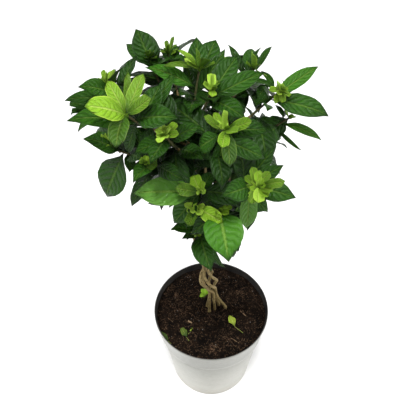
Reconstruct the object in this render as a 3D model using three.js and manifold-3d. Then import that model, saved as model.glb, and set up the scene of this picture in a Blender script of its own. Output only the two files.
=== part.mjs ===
// A potted gardenia: five braided stems that branch into leafy shoots, with bright young growth at
// the shoot tips, dark potting soil and a plain white plastic pot. Millimetres, +Z up. The origin is
// the middle of the pot's underside.
import * as THREE from "three";
import { mergeVertices } from "three/addons/utils/BufferGeometryUtils.js";
import Module from "manifold-3d";

const wasm = await Module();
wasm.setup();

// Driving dimensions
const pot = {
  height: 159,
  rimRadius: 85,
  collarLow: 118, // the collar ends here with a step inwards
  collarRadius: 79.6,
  bodyRadius: 76.8, // just under the step
  footRadius: 64.5,
  footWidth: 5,
  wall: 1.6,
  floor: 3.2, // how far the raised ring of the underside stands off
  padRadius: 24, // flat disc in the middle of the underside
  holes: 6,
  holeRadius: 4,
  holeCircle: 42,
  sides: 26,
};
const soil = {
  level: 150,
  gap: 0.4, // to the pot's wall
  rings: 7,
  legDepth: 27,
  mound: 1.6, // the middle stands this much higher than a wide ring round it
  moundRadius: 77.5,
  lump: 1.1,
  lumpLong: 9.1,
  lumpWide: 10.3,
};
const gap = 0.3; // between a piece and what carries it
const stem = {
  radius: 2.2,
  endRadius: 1.35,
  branchRadius: 1.25,
  sides: 6,
  steps: 28,
  branchSides: 4,
  branchStep: 24,
  holeGap: 0.45,
};
const braid = {
  low: 204, // the narrow place above the splayed legs
  high: 256, // the narrow place above the open loops
  waist: 4.55, // from the braid's middle to each stem's middle, where it is narrow
  bulge: 11.6, // and where the loops stand open
  turn: -150, // degrees from low to high
  step: 13,
  flat: 0.9, // its depth over its width
  back: -3, // its middle line's y, and its x low down and after its lean
  lowX: 1.5,
  highX: -6,
  leanEnd: 0.625, // share of its height where the lean ends
};

// Heights that the stems pass below and above the braid, with their places there
const stemPath = { splay: 170, gather: 189, part: 285, partOut: 5, open: 330, openOut: 14, lead: 22 };
const twig = { long: 36, radius: 1.3, tipRadius: 1.05, sides: 4 };
const bud = { length: 7, radius: 1.0, tipRadius: 0.6, sides: 4 };
const blade = { thickness: 1.25, clearance: 0.45, outerFrom: 0.3 };

// The crown's outline is an upturned cone under a dome, round a middle line that leans left
const crown = {
  low: 244.9,
  widest: 498.5,
  top: 542.8,
  radius: 115.6,
  spare: 12,
  middle: { x: 9.3, y: -3.9, z: 260.7, leanX: -0.12, leanY: 0.05 },
};

// A shoot's lean from upright (degrees): at the middle, more at the widest, and more low down
const lean = { middle: 14, outward: 42, below: 505, drop: 25 / 130 };

// How much a blade's face turns to the sky and to the eye, beside its twig's direction
const facing = { sky: 0.35, eye: 0.8 };

// Where the eye of the photograph stands, and its pinhole view
const eye = { x: -4.8, y: -378.4, z: 737, pitch: 44.44, focal: 450, middle: 208 };

// Two dropped leaves, from stalk to tip in pixels with their widths (mm), and a seedling by the stems
const fallen = [{ px: [[242, 332], [229, 315]], wide: 9 }, { px: [[188, 340], [181, 327]], wide: 10 }];
const sprout = {
  x: -11,
  y: 21,
  depth: 6,
  height: 163,
  top: [205, 296],
  radius: 0.8,
  leaves: [{ px: [205, 286], wide: 12, long: 13, up: 2 }, { px: [198, 295], wide: 5, long: 9, up: -3 }],
};

const colours = {
  pot: 0xe9ebe7,
  soil: 0x2b2019,
  bark: 0xa08b62,
  leaf: 0x235a2a,
  young: 0x86b93a,
  fallen: 0x9caf3c,
};

// Legs of the stems on the soil, and where each stem stands in the lower narrow place (degrees)
const legs = [
  { x: -5.6, y: 6.4, slot: 144 },
  { x: -2.6, y: -2.2, slot: 216 },
  { x: 5.4, y: 0.4, slot: 288 },
  { x: 11.6, y: 8.2, slot: 72 },
  { x: 21.4, y: 3.6, slot: 0 },
];

// A leaf is known by its tip in the photograph (pixels), its length and width (mm) and, where it is
// seen on edge, its roll (degrees). It lies towards the eye or away from it.
const near = (u, v, long, wide, roll = 0) => ({ tip: [u, v], long, wide, roll, turn: -1 });
const far = (u, v, long, wide, roll = 0) => ({ tip: [u, v], long, wide, roll, turn: 1 });

// Each shoot ends at a pixel of the photograph, at a height. It carries dark leaves and a bright tip.
const seenShoots = [
  {
    name: "back_left", px: [150, 60], z: 505,
    dark: [far(125, 43, 44, 14, -50), near(171, 58, 28, 13), far(136, 28, 50, 29, -80)],
    young: [near(148, 50, 15, 7), near(154, 51, 16, 7), near(146, 58, 13, 6), near(157, 58, 15, 6)],
  },
  {
    name: "back_spiky", px: [169, 56], z: 512,
    dark: [near(184, 58, 26, 12), near(158, 60, 24, 11)],
    young: [far(166, 40, 20, 5), far(172, 38, 21, 5), far(177, 44, 20, 5), near(164, 50, 14, 5)],
  },
  {
    name: "top", px: [199, 73], z: 526,
    dark: [
      far(216, 38, 50, 24), far(197, 36, 46, 20), near(146, 66, 54, 17, -20), far(181, 49, 36, 17),
      far(229, 44, 52, 16, 50), near(180, 94, 40, 18), near(190, 112, 46, 18),
    ],
    young: [
      near(178, 50, 30, 9), near(193, 49, 27, 9), near(163, 66, 38, 8), near(215, 63, 20, 7),
      near(187, 64, 18, 8), near(203, 59, 17, 11),
    ],
  },
  {
    name: "top_front", px: [212, 91], z: 532,
    dark: [far(238, 54, 48, 20), far(265, 71, 55, 18), near(246, 119, 50, 19), near(215, 106, 34, 18)],
    young: [far(211, 73, 18, 8), near(203, 84, 15, 7), near(218, 84, 13, 7), near(212, 97, 12, 7)],
  },
  {
    name: "back_right", px: [252, 70], z: 520,
    dark: [
      far(253, 47, 40, 18), far(229, 43, 40, 11), near(275, 87, 34, 9), far(273, 44, 42, 12),
    ],
    young: [near(253, 53, 24, 11), near(246, 63, 14, 7), near(259, 64, 13, 6)],
  },
  {
    name: "right", px: [279, 92], z: 510,
    dark: [far(319, 65, 54, 15), near(331, 115, 60, 23, 20), near(262, 86, 24, 10), near(268, 110, 28, 12)],
    young: [
      near(277, 82, 16, 8), near(285, 86, 15, 8), near(269, 90, 14, 7), near(273, 103, 13, 7),
      near(282, 107, 14, 8), near(289, 97, 13, 7),
    ],
  },
  {
    name: "right_low", px: [287, 119], z: 478,
    dark: [
      near(326, 141, 46, 10, 25), near(253, 149, 50, 23), far(302, 152, 40, 5, 75), near(262, 138, 32, 15),
    ],
    young: [near(295, 116, 13, 7), near(285, 111, 11, 5)],
  },
  {
    name: "front_top", px: [224, 131], z: 514,
    dark: [
      far(197, 149, 42, 17), far(200, 160, 46, 17), far(222, 181, 50, 18), far(266, 158, 50, 19),
    ],
    young: [
      near(204, 116, 25, 7), far(214, 112, 21, 6), far(224, 110, 22, 8), near(252, 121, 28, 10),
      near(239, 134, 19, 10), near(222, 148, 24, 10), near(230, 167, 33, 13),
    ],
  },
  {
    name: "left_top", px: [129, 117], z: 518,
    dark: [
      near(178, 117, 47, 22), far(126, 154, 42, 16), near(67, 119, 64, 21), far(160, 83, 42, 20),
      far(175, 71, 60, 14),
    ],
    young: [
      near(85, 106, 44, 21, -15), far(107, 80, 41, 13), far(128, 71, 43, 7), far(143, 73, 41, 13),
      near(151, 98, 29, 12), near(116, 148, 35, 18),
    ],
  },
  {
    name: "far_left", px: [108, 88], z: 500,
    dark: [near(79, 86, 42, 20, -60), far(136, 54, 50, 18), far(75, 131, 56, 18), near(58, 99, 58, 17, -30)],
    young: [far(96, 79, 18, 6), far(102, 72, 19, 6), far(107, 69, 20, 6), far(115, 70, 19, 6)],
  },
  {
    name: "left_low", px: [114, 149], z: 478,
    dark: [near(84, 138, 40, 20, -15), far(105, 198, 57, 33, -10), near(142, 159, 32, 15)],
    young: [near(101, 136, 17, 6), far(110, 131, 18, 6), near(103, 149, 14, 6), far(119, 138, 13, 6)],
  },
  {
    name: "middle_left", px: [165, 136], z: 506,
    dark: [near(150, 163, 36, 16), near(134, 153, 38, 16), near(201, 126, 40, 15)],
    young: [
      near(155, 130, 13, 6), far(161, 124, 14, 6), far(168, 126, 12, 6), far(177, 123, 17, 7),
      near(179, 134, 15, 7), near(158, 143, 12, 6),
    ],
  },
  {
    name: "middle_low", px: [148, 163], z: 474,
    dark: [near(133, 181, 38, 17), far(130, 207, 50, 15), near(184, 180, 44, 16)],
    young: [far(145, 155, 12, 5), far(152, 156, 11, 5), near(140, 160, 12, 6), near(158, 166, 13, 11)],
  },
  {
    name: "front_right", px: [256, 186], z: 458,
    dark: [
      near(222, 196, 40, 21), far(247, 230, 50, 19), near(299, 198, 48, 21), far(286, 164, 42, 15),
      far(275, 147, 48, 16), far(271, 212, 40, 16),
    ],
    young: [
      near(243, 175, 15, 7), far(249, 162, 19, 8), far(272, 168, 17, 8), near(273, 191, 17, 9),
      near(258, 203, 17, 11), near(246, 198, 16, 8), near(247, 207, 19, 9), near(285, 181, 29, 9),
    ],
  },
  {
    name: "front_middle", px: [200, 192], z: 450,
    dark: [near(132, 193, 64, 27), far(173, 224, 46, 22), far(213, 171, 32, 13)],
    young: [far(193, 175, 19, 12), near(175, 188, 27, 12), far(203, 181, 12, 6), near(206, 190, 10, 6)],
  },
  {
    name: "front_low_left", px: [197, 207], z: 424,
    dark: [near(186, 227, 28, 13)],
    young: [
      near(187, 205, 13, 7), far(193, 200, 12, 7), near(202, 215, 12, 8), near(220, 227, 30, 16),
      near(188, 226, 20, 11),
    ],
  },
  {
    name: "front_low", px: [219, 210], z: 424,
    dark: [near(229, 261, 56, 38), near(239, 250, 50, 22)],
    young: [far(213, 203, 11, 7), far(222, 202, 12, 6), near(229, 208, 12, 6), near(216, 217, 11, 8)],
  },
  {
    name: "lowest", px: [196, 232], z: 372, twigLong: 28,
    dark: [near(171, 229, 36, 15, 50), near(211, 271, 50, 25), near(226, 272, 52, 14, 30)],
    young: [near(192, 229, 11, 6), near(201, 231, 11, 6)],
  },
];

// Shoots that the photograph hides, by height and turn about the crown's middle line
const hiddenRings = [
  { z: 500, reach: 0.72, turns: [66], twigLong: 36 },
  { z: 448, reach: 0.72, turns: [14, 52, 92, 132, 176], twigLong: 36, bright: 92 },
  { z: 392, reach: 0.66, turns: [-22, 40, 100, 190], twigLong: 32 },
  { z: 346, reach: 0.68, turns: [102, 174, -42], twigLong: 20 },
];

// Leaves by rule stand in whorls of three down the twig
const whorls = [
  { leaves: 3, down: 7, spread: 52, long: 46, droop: 0.05 },
  { leaves: 3, down: 18, spread: 74, long: 54, droop: 0.14 },
  { leaves: 2, down: 30, spread: 92, long: 56, droop: 0.24 },
];
const crowded = 0.72; // a leaf by rule is left out where a seen leaf points nearly the same way
// Leaves by rule that would hide leaves of the photograph or stand beyond its outline, by number
const bare = {
  back_left: [3], back_spiky: [0], top_front: [0, 3, 5], front_top: [2, 3, 4], left_top: [5],
  front_middle: [0, 1], front_low_left: [2, 4], right: [1, 3, 5], right_low: [3, 4], left_low: [1],
  middle_low: [0], back_right: [5], front_low: [5], lowest: [6],
  hidden_6: [5, 7], hidden_7: [4], hidden_10: [1, 6], hidden_12: [3], hidden_13: [0],
};
const leafShape = { slim: 0.43, stalk: 1.1, arch: 0.1, fold: 0.16, wave: 0.05 };
const youngRule = { count: 5, spread: 30, long: 19, slim: 0.42 };

// Stations along a blade, with the share of its half width there
const darkStations = [[0.14, 0.14], [0.45, 1], [0.77, 0.76]];
const youngStations = [[0.3, 0.85], [0.7, 0.9]];

// Ways along the twig (mm) to set a leaf clear of its neighbours
const slides = [0, 5, 10, 15, 20];

// Ways to bend a leaf clear of its neighbours, tried in turn: yaw, pitch, roll (degrees), length
const bends = [
  [0, 7, 0, 1], [0, -7, 0, 1], [9, 0, 0, 1], [-9, 0, 0, 1], [0, 0, 22, 1],
  [0, 0, -22, 1], [10, 9, 0, 1], [-10, 9, 0, 1], [10, -9, 0, 1], [-10, -9, 0, 1], [0, 15, 0, 0.95],
  [0, -15, 0, 0.95], [18, 0, 18, 0.9], [-18, 0, -18, 0.9], [0, 22, 0, 0.85], [0, -22, 0, 0.85],
  [24, 8, 0, 0.85], [-24, 8, 0, 0.85], [24, -12, 0, 0.75], [-24, -12, 0, 0.75], [0, 0, 0, 0.65],
];

const vec = (x, y, z) => new THREE.Vector3(x, y, z);
const rad = THREE.MathUtils.degToRad;
const zAxis = vec(0, 0, 1);

// An even spread of numbers from 0 to 1 that is the same on each run
function wobble(n) {
  const s = Math.sin(n * 12.9898) * 43758.5453;
  return s - Math.floor(s);
}

function solid(geometry) {
  geometry.deleteAttribute("normal");
  geometry.deleteAttribute("uv");
  const merged = mergeVertices(geometry, 1e-4);
  const vertProperties = merged.attributes.position.array;
  const triVerts = new Uint32Array(merged.index.array);
  return new wasm.Manifold(new wasm.Mesh({ numProp: 3, vertProperties, triVerts }));
}

function geometryOf(made) {
  const { vertProperties, triVerts } = made.getMesh();
  const geometry = new THREE.BufferGeometry();
  geometry.setAttribute("position", new THREE.BufferAttribute(vertProperties, 3));
  geometry.setIndex(new THREE.BufferAttribute(triVerts, 1));
  geometry.computeVertexNormals();
  return geometry;
}

const fused = (solids) => solids.reduce((whole, piece) => whole.add(piece));

// ---- Places

function throughPixel([u, v]) {
  const p = rad(eye.pitch);
  const right = (u - eye.middle) / eye.focal;
  const up = (eye.middle - v) / eye.focal;
  const forward = vec(0, Math.cos(p), -Math.sin(p));
  const direction = forward.add(vec(right, up * Math.sin(p), up * Math.cos(p))).normalize();
  return { from: vec(eye.x, eye.y, eye.z), direction };
}

function atHeight(px, z) {
  const { from, direction } = throughPixel(px);
  return from.addScaledVector(direction, (z - from.z) / direction.z);
}

// The point of a pixel's line of sight that lies a length away from base, on its near or far side
function tipThrough(px, base, long, turn) {
  const { from, direction } = throughPixel(px);
  const along = base.clone().sub(from).dot(direction);
  const closest = from.addScaledVector(direction, along);
  const off = closest.clone().sub(base);
  if (off.length() >= long) return base.clone().addScaledVector(off.normalize(), long);
  return closest.addScaledVector(direction, turn * Math.sqrt(long * long - off.lengthSq()));
}

function crownMiddle(z) {
  const { middle } = crown;
  const up = z - middle.z;
  return vec(middle.x + middle.leanX * up, middle.y + middle.leanY * up, z);
}

function crownRadius(z) {
  if (z < crown.low || z > crown.top) return 0;
  if (z < crown.widest) {
    return crown.radius * (1 - ((crown.widest - z) / (crown.widest - crown.low)) ** 1.03);
  }
  return crown.radius * Math.sqrt(1 - ((z - crown.widest) / (crown.top - crown.widest)) ** 2);
}

function insideCrown(point) {
  const z = THREE.MathUtils.clamp(point.z, crown.low + crown.spare, crown.top);
  const out = Math.hypot(point.x - crownMiddle(z).x, point.y - crownMiddle(z).y);
  return out < crownRadius(z) + crown.spare && point.z < crown.top + 3;
}

function soilHeight(x, y) {
  const mound = soil.mound * (1 - (x * x + y * y) / soil.moundRadius ** 2);
  const lumps = soil.lump * Math.sin(x / soil.lumpLong + 0.7) * Math.cos(y / soil.lumpWide - 0.4);
  return soil.level - 1 + mound + lumps;
}

// ---- Pot and soil

function lathe(profile, segments) {
  const points = profile.map(([r, z]) => new THREE.Vector2(r, z));
  return new THREE.LatheGeometry(points, segments).rotateX(Math.PI / 2);
}

function upright(radius, low, high, x, y, sides = 8) {
  const rod = new THREE.CylinderGeometry(radius, radius, high - low, sides);
  return rod.rotateX(Math.PI / 2).translate(x, y, (low + high) / 2);
}

function makePot() {
  const { wall, floor } = pot;
  const inner = pot.footRadius - wall;
  const profile = [
    [0, 0], [pot.padRadius, 0], [pot.padRadius + 3, floor], [pot.footRadius - pot.footWidth, floor],
    [pot.footRadius - pot.footWidth + 1, 0], [pot.footRadius - 1, 0], [pot.footRadius, 1.2],
    [pot.bodyRadius, pot.collarLow - 1.2], [pot.collarRadius, pot.collarLow],
    [pot.rimRadius - 0.5, pot.height - 3], [pot.rimRadius, pot.height - 1.6],
    [pot.rimRadius - 0.6, pot.height], [pot.rimRadius - wall, pot.height],
    [pot.rimRadius - wall - 0.7, pot.height - 3], [pot.collarRadius - wall, pot.collarLow + 1],
    [pot.bodyRadius - wall, pot.collarLow - 2], [inner, floor + wall], [0, floor + wall],
  ];
  const shell = solid(lathe(profile, pot.sides));
  const holes = Array.from({ length: pot.holes }, (_, i) => {
    const turn = (i * 2 * Math.PI) / pot.holes;
    const [x, y] = [pot.holeCircle * Math.cos(turn), pot.holeCircle * Math.sin(turn)];
    return solid(upright(pot.holeRadius, -1, floor + wall + 1, x, y));
  });
  return shell.subtract(fused(holes));
}

function makeSoil(holes) {
  const low = pot.floor + pot.wall + gap;
  const slope = (pot.bodyRadius - pot.footRadius) / pot.collarLow;
  const inset = pot.wall + soil.gap;
  const collarSlope = (pot.rimRadius - pot.collarRadius) / (pot.height - pot.collarLow);
  const edge = pot.collarRadius - inset + (soil.level - 2 - pot.collarLow) * collarSlope;
  const profile = [
    [0, low], [pot.footRadius - inset, low],
    [pot.bodyRadius - inset - 2 * slope, pot.collarLow - 2.4],
    [pot.collarRadius - inset, pot.collarLow + 1.4],
  ];
  for (let ring = soil.rings; ring >= 0; ring -= 1) profile.push([(edge * ring) / soil.rings, soil.level]);
  const geometry = lathe(profile, pot.sides);
  const at = geometry.attributes.position;
  for (let i = 0; i < at.count; i += 1) {
    if (at.getZ(i) > soil.level - 0.1) at.setZ(i, soilHeight(at.getX(i), at.getY(i)));
  }
  return solid(geometry).subtract(fused(holes));
}

// ---- Tubes

// A tube along a curve, from one radius to another
function tube(curve, radius, endRadius, sides, steps) {
  const corners = Array.from({ length: sides }, (_, i) => {
    const turn = (i * 2 * Math.PI) / sides;
    return new THREE.Vector2(radius * Math.cos(turn), radius * Math.sin(turn));
  });
  const options = { steps, bevelEnabled: false, extrudePath: curve };
  const geometry = new THREE.ExtrudeGeometry(new THREE.Shape(corners), options);
  const middles = curve.getSpacedPoints(steps);
  const at = geometry.attributes.position;
  const corner = vec(0, 0, 0);
  for (let i = 0; i < at.count; i += 1) {
    corner.fromBufferAttribute(at, i);
    let step = 0;
    middles.forEach((middle, k) => {
      if (middle.distanceTo(corner) < middles[step].distanceTo(corner)) step = k;
    });
    const share = 1 + ((endRadius / radius - 1) * step) / steps;
    corner.sub(middles[step]).multiplyScalar(share).add(middles[step]);
    at.setXYZ(i, corner.x, corner.y, corner.z);
  }
  return solid(geometry);
}

function rod(from, to, radius, endRadius, sides) {
  const along = to.clone().sub(from);
  const geometry = new THREE.CylinderGeometry(endRadius, radius, along.length(), sides);
  const turn = new THREE.Quaternion().setFromUnitVectors(vec(0, 1, 0), along.clone().normalize());
  geometry.applyQuaternion(turn);
  return solid(geometry.translate(...from.clone().addScaledVector(along, 0.5).toArray()));
}

// ---- Shoots, their places and directions

// A shoot leans out more the further it stands from the crown's middle and the lower it is
function shootAxis(tip) {
  const out = tip.clone().sub(crownMiddle(tip.z)).setZ(0);
  const outward = lean.outward * (out.length() / crown.radius);
  const tilt = rad(lean.middle + outward + lean.drop * Math.max(0, lean.below - tip.z));
  return out.normalize().multiplyScalar(Math.sin(tilt)).setZ(Math.cos(tilt));
}

function placeShoots() {
  const shoots = seenShoots.map((shoot) => {
    return { twigLong: twig.long, ...shoot, tip: atHeight(shoot.px, shoot.z) };
  });
  for (const { z, reach, turns, twigLong, bright } of hiddenRings) {
    for (const turn of turns) {
      const out = vec(Math.cos(rad(turn)), Math.sin(rad(turn)), 0).multiplyScalar(reach * crownRadius(z));
      const tip = crownMiddle(z).add(out);
      const name = `hidden_${shoots.length - seenShoots.length + 1}`;
      const young = turn === bright ? [] : undefined;
      shoots.push({ name, tip, twigLong, dark: [], young });
    }
  }
  shoots.forEach((shoot, i) => {
    shoot.index = i;
    shoot.axis = shootAxis(shoot.tip);
    shoot.base = shoot.tip.clone().addScaledVector(shoot.axis, -shoot.twigLong);
  });
  return shoots;
}

// ---- Stems

function braidMiddle(z) {
  const up = (z - braid.low) / (braid.high - braid.low);
  const leant = Math.min(1, up / braid.leanEnd);
  return vec(braid.lowX + (braid.highX - braid.lowX) * leant, braid.back, z);
}

function braidPoint(slot, z) {
  const up = (z - braid.low) / (braid.high - braid.low);
  const out = braid.waist + (braid.bulge - braid.waist) * Math.sin(Math.PI * up) ** 2;
  const turn = rad(slot + braid.turn * up);
  const middle = braidMiddle(z);
  return middle.add(vec(out * Math.cos(turn), braid.flat * out * Math.sin(turn), 0));
}

// The stem's route: straight out of the soil, through the braid and up to the base of its leader
function stemRoute(leg, leader) {
  const foot = soil.level - soil.legDepth;
  const points = [foot, soil.level - 5, soil.level + 2.5].map((z) => vec(leg.x, leg.y, z));
  const first = braidPoint(leg.slot, braid.low);
  points.push(vec(leg.x, leg.y, 0).lerp(first, 0.42).setZ(stemPath.splay));
  points.push(vec(leg.x, leg.y, 0).lerp(first, 0.84).setZ(stemPath.gather));
  for (let z = braid.low; z <= braid.high; z += braid.step) points.push(braidPoint(leg.slot, z));
  const top = braidPoint(leg.slot, braid.high);
  const end = leader.base.clone().addScaledVector(leader.axis, -gap);
  const out = wedgeDirection(leg);
  const open = top.clone().addScaledVector(out, stemPath.openOut);
  points.push(top.clone().addScaledVector(out, stemPath.partOut).setZ(stemPath.part));
  points.push(open.clone().setZ(stemPath.open));
  const before = end.clone().addScaledVector(leader.axis, -stemPath.lead);
  points.push(open.lerp(before, 0.5));
  points.push(before, end);
  return new THREE.CatmullRomCurve3(points, false, "centripetal");
}

function wedgeDirection(leg) {
  const turn = rad(leg.slot + braid.turn);
  return vec(Math.cos(turn), Math.sin(turn), 0);
}

// Each shoot belongs to the stem whose wedge of the crown its base stands in
function ownerOf(shoot) {
  const out = shoot.base.clone().sub(braidMiddle(braid.high)).setZ(0).normalize();
  const facing = legs.map((leg) => wedgeDirection(leg).dot(out));
  return facing.indexOf(Math.max(...facing));
}

// A side branch leaves its stem well under the shoot that it carries
function branchRoute(route, shoot) {
  const end = shoot.base.clone().addScaledVector(shoot.axis, -gap);
  let best = null;
  for (let t = 0.4; t < 0.98; t += 0.01) {
    const from = route.getPointAt(t);
    const flat = Math.hypot(end.x - from.x, end.y - from.y);
    const miss = Math.abs(end.z - from.z - 12 - 0.9 * flat);
    if (from.z > braid.high + 14 && (!best || miss < best.miss)) best = { miss, t, from };
  }
  const reach = best.from.distanceTo(end) * 0.4;
  const leave = best.from.clone().addScaledVector(route.getTangentAt(best.t), reach);
  const arrive = end.clone().addScaledVector(shoot.axis, -reach);
  return new THREE.CubicBezierCurve3(best.from, leave, arrive, end);
}

function makeStem(leg, own) {
  const leader = own.reduce((a, b) => (a.base.z > b.base.z ? a : b));
  const route = stemRoute(leg, leader);
  const pieces = [tube(route, stem.radius, stem.endRadius, stem.sides, stem.steps)];
  for (const shoot of own) {
    if (shoot === leader) continue;
    const path = branchRoute(route, shoot);
    const steps = Math.max(3, Math.round(path.getLength() / stem.branchStep));
    pieces.push(tube(path, stem.endRadius, stem.branchRadius, stem.branchSides, steps));
  }
  return fused(pieces);
}

// ---- Leaves

// Face-up direction of a blade: towards its shoot's axis, a little to the sky and, for a leaf that
// the photograph shows, to the eye
function faceOf(direction, axis, root = null) {
  const across = (v) => v.clone().addScaledVector(direction, -v.dot(direction));
  const face = across(axis);
  if (face.length() < 0.05) face.copy(across(vec(0.3, 0.2, 1)));
  face.normalize().addScaledVector(across(zAxis), facing.sky);
  if (root) face.addScaledVector(across(vec(eye.x, eye.y, eye.z).sub(root).normalize()), facing.eye);
  return face.normalize();
}

function bent(leaf, [yaw, pitch, roll, scale]) {
  const direction = leaf.direction.clone().applyAxisAngle(leaf.face, rad(yaw));
  const side = direction.clone().cross(leaf.face).normalize();
  direction.applyAxisAngle(side, rad(pitch));
  const face = leaf.face.clone().applyAxisAngle(side, rad(pitch)).applyAxisAngle(direction, rad(roll));
  return { ...leaf, direction, face, long: leaf.long * scale, wide: leaf.wide * Math.sqrt(scale) };
}

// A closed blade with a rib, from its root through its stations to its tip. Both faces are split
// into triangles alike, so a waved blade keeps its thickness.
function bladeGeometry(leaf, fat = 0) {
  const { root, direction, face, long, stations } = leaf;
  const side = direction.clone().cross(face);
  const half = leaf.wide / 2 + fat / 2;
  const thick = (blade.thickness + fat) / 2;
  const middle = (t) => {
    const rise = leaf.arch * 4 * t * (1 - t) - leaf.curl * t * t * (1 - t) * 2;
    return root.clone().addScaledVector(direction, long * t).addScaledVector(face, long * rise);
  };
  const corners = [middle(0)];
  stations.forEach(([t, share], k) => {
    const rib = middle(t);
    const out = share < 0.3 ? Math.min(half * share, leafShape.stalk + fat / 2) : half * share;
    const wave = leaf.wave * out * (k % 2 ? 1 : -1);
    const lift = leaf.fold * out;
    const body = thick * Math.min(1, 0.6 + share);
    corners.push(rib.clone().addScaledVector(side, -out).addScaledVector(face, lift + wave));
    corners.push(rib.clone().addScaledVector(face, body));
    corners.push(rib.clone().addScaledVector(side, out).addScaledVector(face, lift - wave));
    corners.push(rib.clone().addScaledVector(face, -body));
  });
  corners.push(middle(1));
  const faces = [];
  const last = corners.length - 1;
  const ring = (k) => [0, 1, 2, 3].map((c) => 1 + 4 * k + c);
  for (let c = 0; c < 4; c += 1) {
    const d = (c + 1) % 4;
    faces.push(0, ring(0)[d], ring(0)[c]);
    faces.push(last, ring(stations.length - 1)[c], ring(stations.length - 1)[d]);
    for (let k = 0; k + 1 < stations.length; k += 1) {
      const [a, b] = [ring(k), ring(k + 1)];
      // Each split runs from the rib to the next station's edge
      if (c % 2) faces.push(a[c], b[d], b[c], a[c], a[d], b[d]);
      else faces.push(a[c], a[d], b[c], b[c], a[d], b[d]);
    }
  }
  const geometry = new THREE.BufferGeometry().setFromPoints(corners);
  return geometry.setIndex(faces);
}

function onTwig(shoot, down) {
  return shoot.tip.clone().addScaledVector(shoot.axis, -Math.min(down, shoot.twigLong - 2));
}

// A leaf by rule slides half as far, and a young one hardly
function slid(leaf, slide) {
  const by = leaf.isYoung ? 0.1 * slide : Math.max(-0.4 * slide, -leaf.spare);
  return { ...leaf, root: leaf.root.clone().addScaledVector(leaf.axis, by) };
}

// A leaf whose tip is read from the photograph. It may slide down its twig to stand clear.
function seenLeaf(shoot, spec, k, isYoung, slide) {
  const down = isYoung ? -2 - 0.7 * k + 0.1 * slide : 8 + 3.4 * k + slide;
  const root = onTwig(shoot, down);
  const direction = tipThrough(spec.tip, root, spec.long, spec.turn).sub(root).normalize();
  const face = faceOf(direction, shoot.axis, root).applyAxisAngle(direction, rad(spec.roll));
  return finishLeaf({ ...spec, root, direction, face }, shoot, k, isYoung);
}

function finishLeaf(leaf, shoot, k, isYoung) {
  const own = wobble(shoot.index * 31 + k * 7 + (isYoung ? 500 : 0));
  const small = isYoung && leaf.long < 30;
  return {
    ...leaf,
    arch: small ? -0.08 : leafShape.arch * (leaf.turn > 0 ? 0.2 : 0.6 + 0.8 * own),
    curl: small ? -0.1 : 0.1 * own,
    fold: leafShape.fold * (small ? 1.9 : 0.5 + own),
    wave: small ? 0 : leafShape.wave,
    stations: small ? youngStations : darkStations,
    isYoung,
    axis: shoot.axis,
    spare: shoot.twigLong - 2 - shoot.tip.distanceTo(leaf.root),
  };
}

// Leaves by rule, in whorls, where the photograph gave none
function whorlLeaves(shoot, w) {
  const whorl = whorls[w];
  const side = vec(-shoot.axis.y, shoot.axis.x, 0).normalize();
  const up = shoot.axis.clone().cross(side);
  const leaves = [];
  for (let n = 0; n < whorl.leaves; n += 1) {
    if (bare[shoot.name]?.includes(3 * w + n)) continue;
    const k = 20 + 3 * w + n;
    const own = wobble(shoot.index * 17 + k * 3);
    const turn = rad(shoot.index * 47 + w * 60 + (n * 360) / whorl.leaves + 30 * own);
    const spread = rad(whorl.spread + 16 * (own - 0.5));
    const out = side.clone().multiplyScalar(Math.cos(turn)).addScaledVector(up, Math.sin(turn));
    const direction = shoot.axis.clone().multiplyScalar(Math.cos(spread));
    direction.addScaledVector(out, Math.sin(spread)).addScaledVector(zAxis, -whorl.droop).normalize();
    const long = whorl.long * (0.86 + 0.28 * own);
    const seen = shoot.dark.map((spec, i) => seenLeaf(shoot, spec, i, false, 0));
    if (seen.some((leaf) => leaf.direction.dot(direction) > crowded)) continue;
    const root = onTwig(shoot, whorl.down + 3 * n);
    const face = faceOf(direction, shoot.axis);
    leaves.push(finishLeaf({ root, direction, face, long, wide: long * leafShape.slim }, shoot, k, false));
  }
  return leaves;
}

function youngLeaves(shoot) {
  return Array.from({ length: youngRule.count }, (_, k) => {
    const own = wobble(shoot.index * 23 + k * 5);
    const side = vec(-shoot.axis.y, shoot.axis.x, 0).normalize();
    const out = side.applyAxisAngle(shoot.axis, rad(k * 137.5 + 60 * own));
    const spread = rad(youngRule.spread * (0.6 + 0.8 * own));
    const direction = shoot.axis.clone().multiplyScalar(Math.cos(spread));
    direction.addScaledVector(out, Math.sin(spread));
    const long = youngRule.long * (0.7 + 0.5 * own);
    const root = onTwig(shoot, -1.4 - k);
    const face = faceOf(direction, shoot.axis);
    return finishLeaf({ root, direction, face, long, wide: long * youngRule.slim }, shoot, 40 + k, true);
  });
}

// ---- Keeping leaves clear of each other

function meets(solidA, boxA, other) {
  for (const c of ["x", "y", "z"].keys()) {
    if (boxA.max[c] < other.box.min[c] || other.box.max[c] < boxA.min[c]) return false;
  }
  const common = solidA.intersect(other.solid);
  const found = !common.isEmpty();
  common.delete();
  return found;
}

// A leaf's places to try: down its twig first, then bent
function* poses(leafAt) {
  for (const slide of slides) yield leafAt(slide);
  for (const bend of bends) yield bent(leafAt(0), bend);
}

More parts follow.
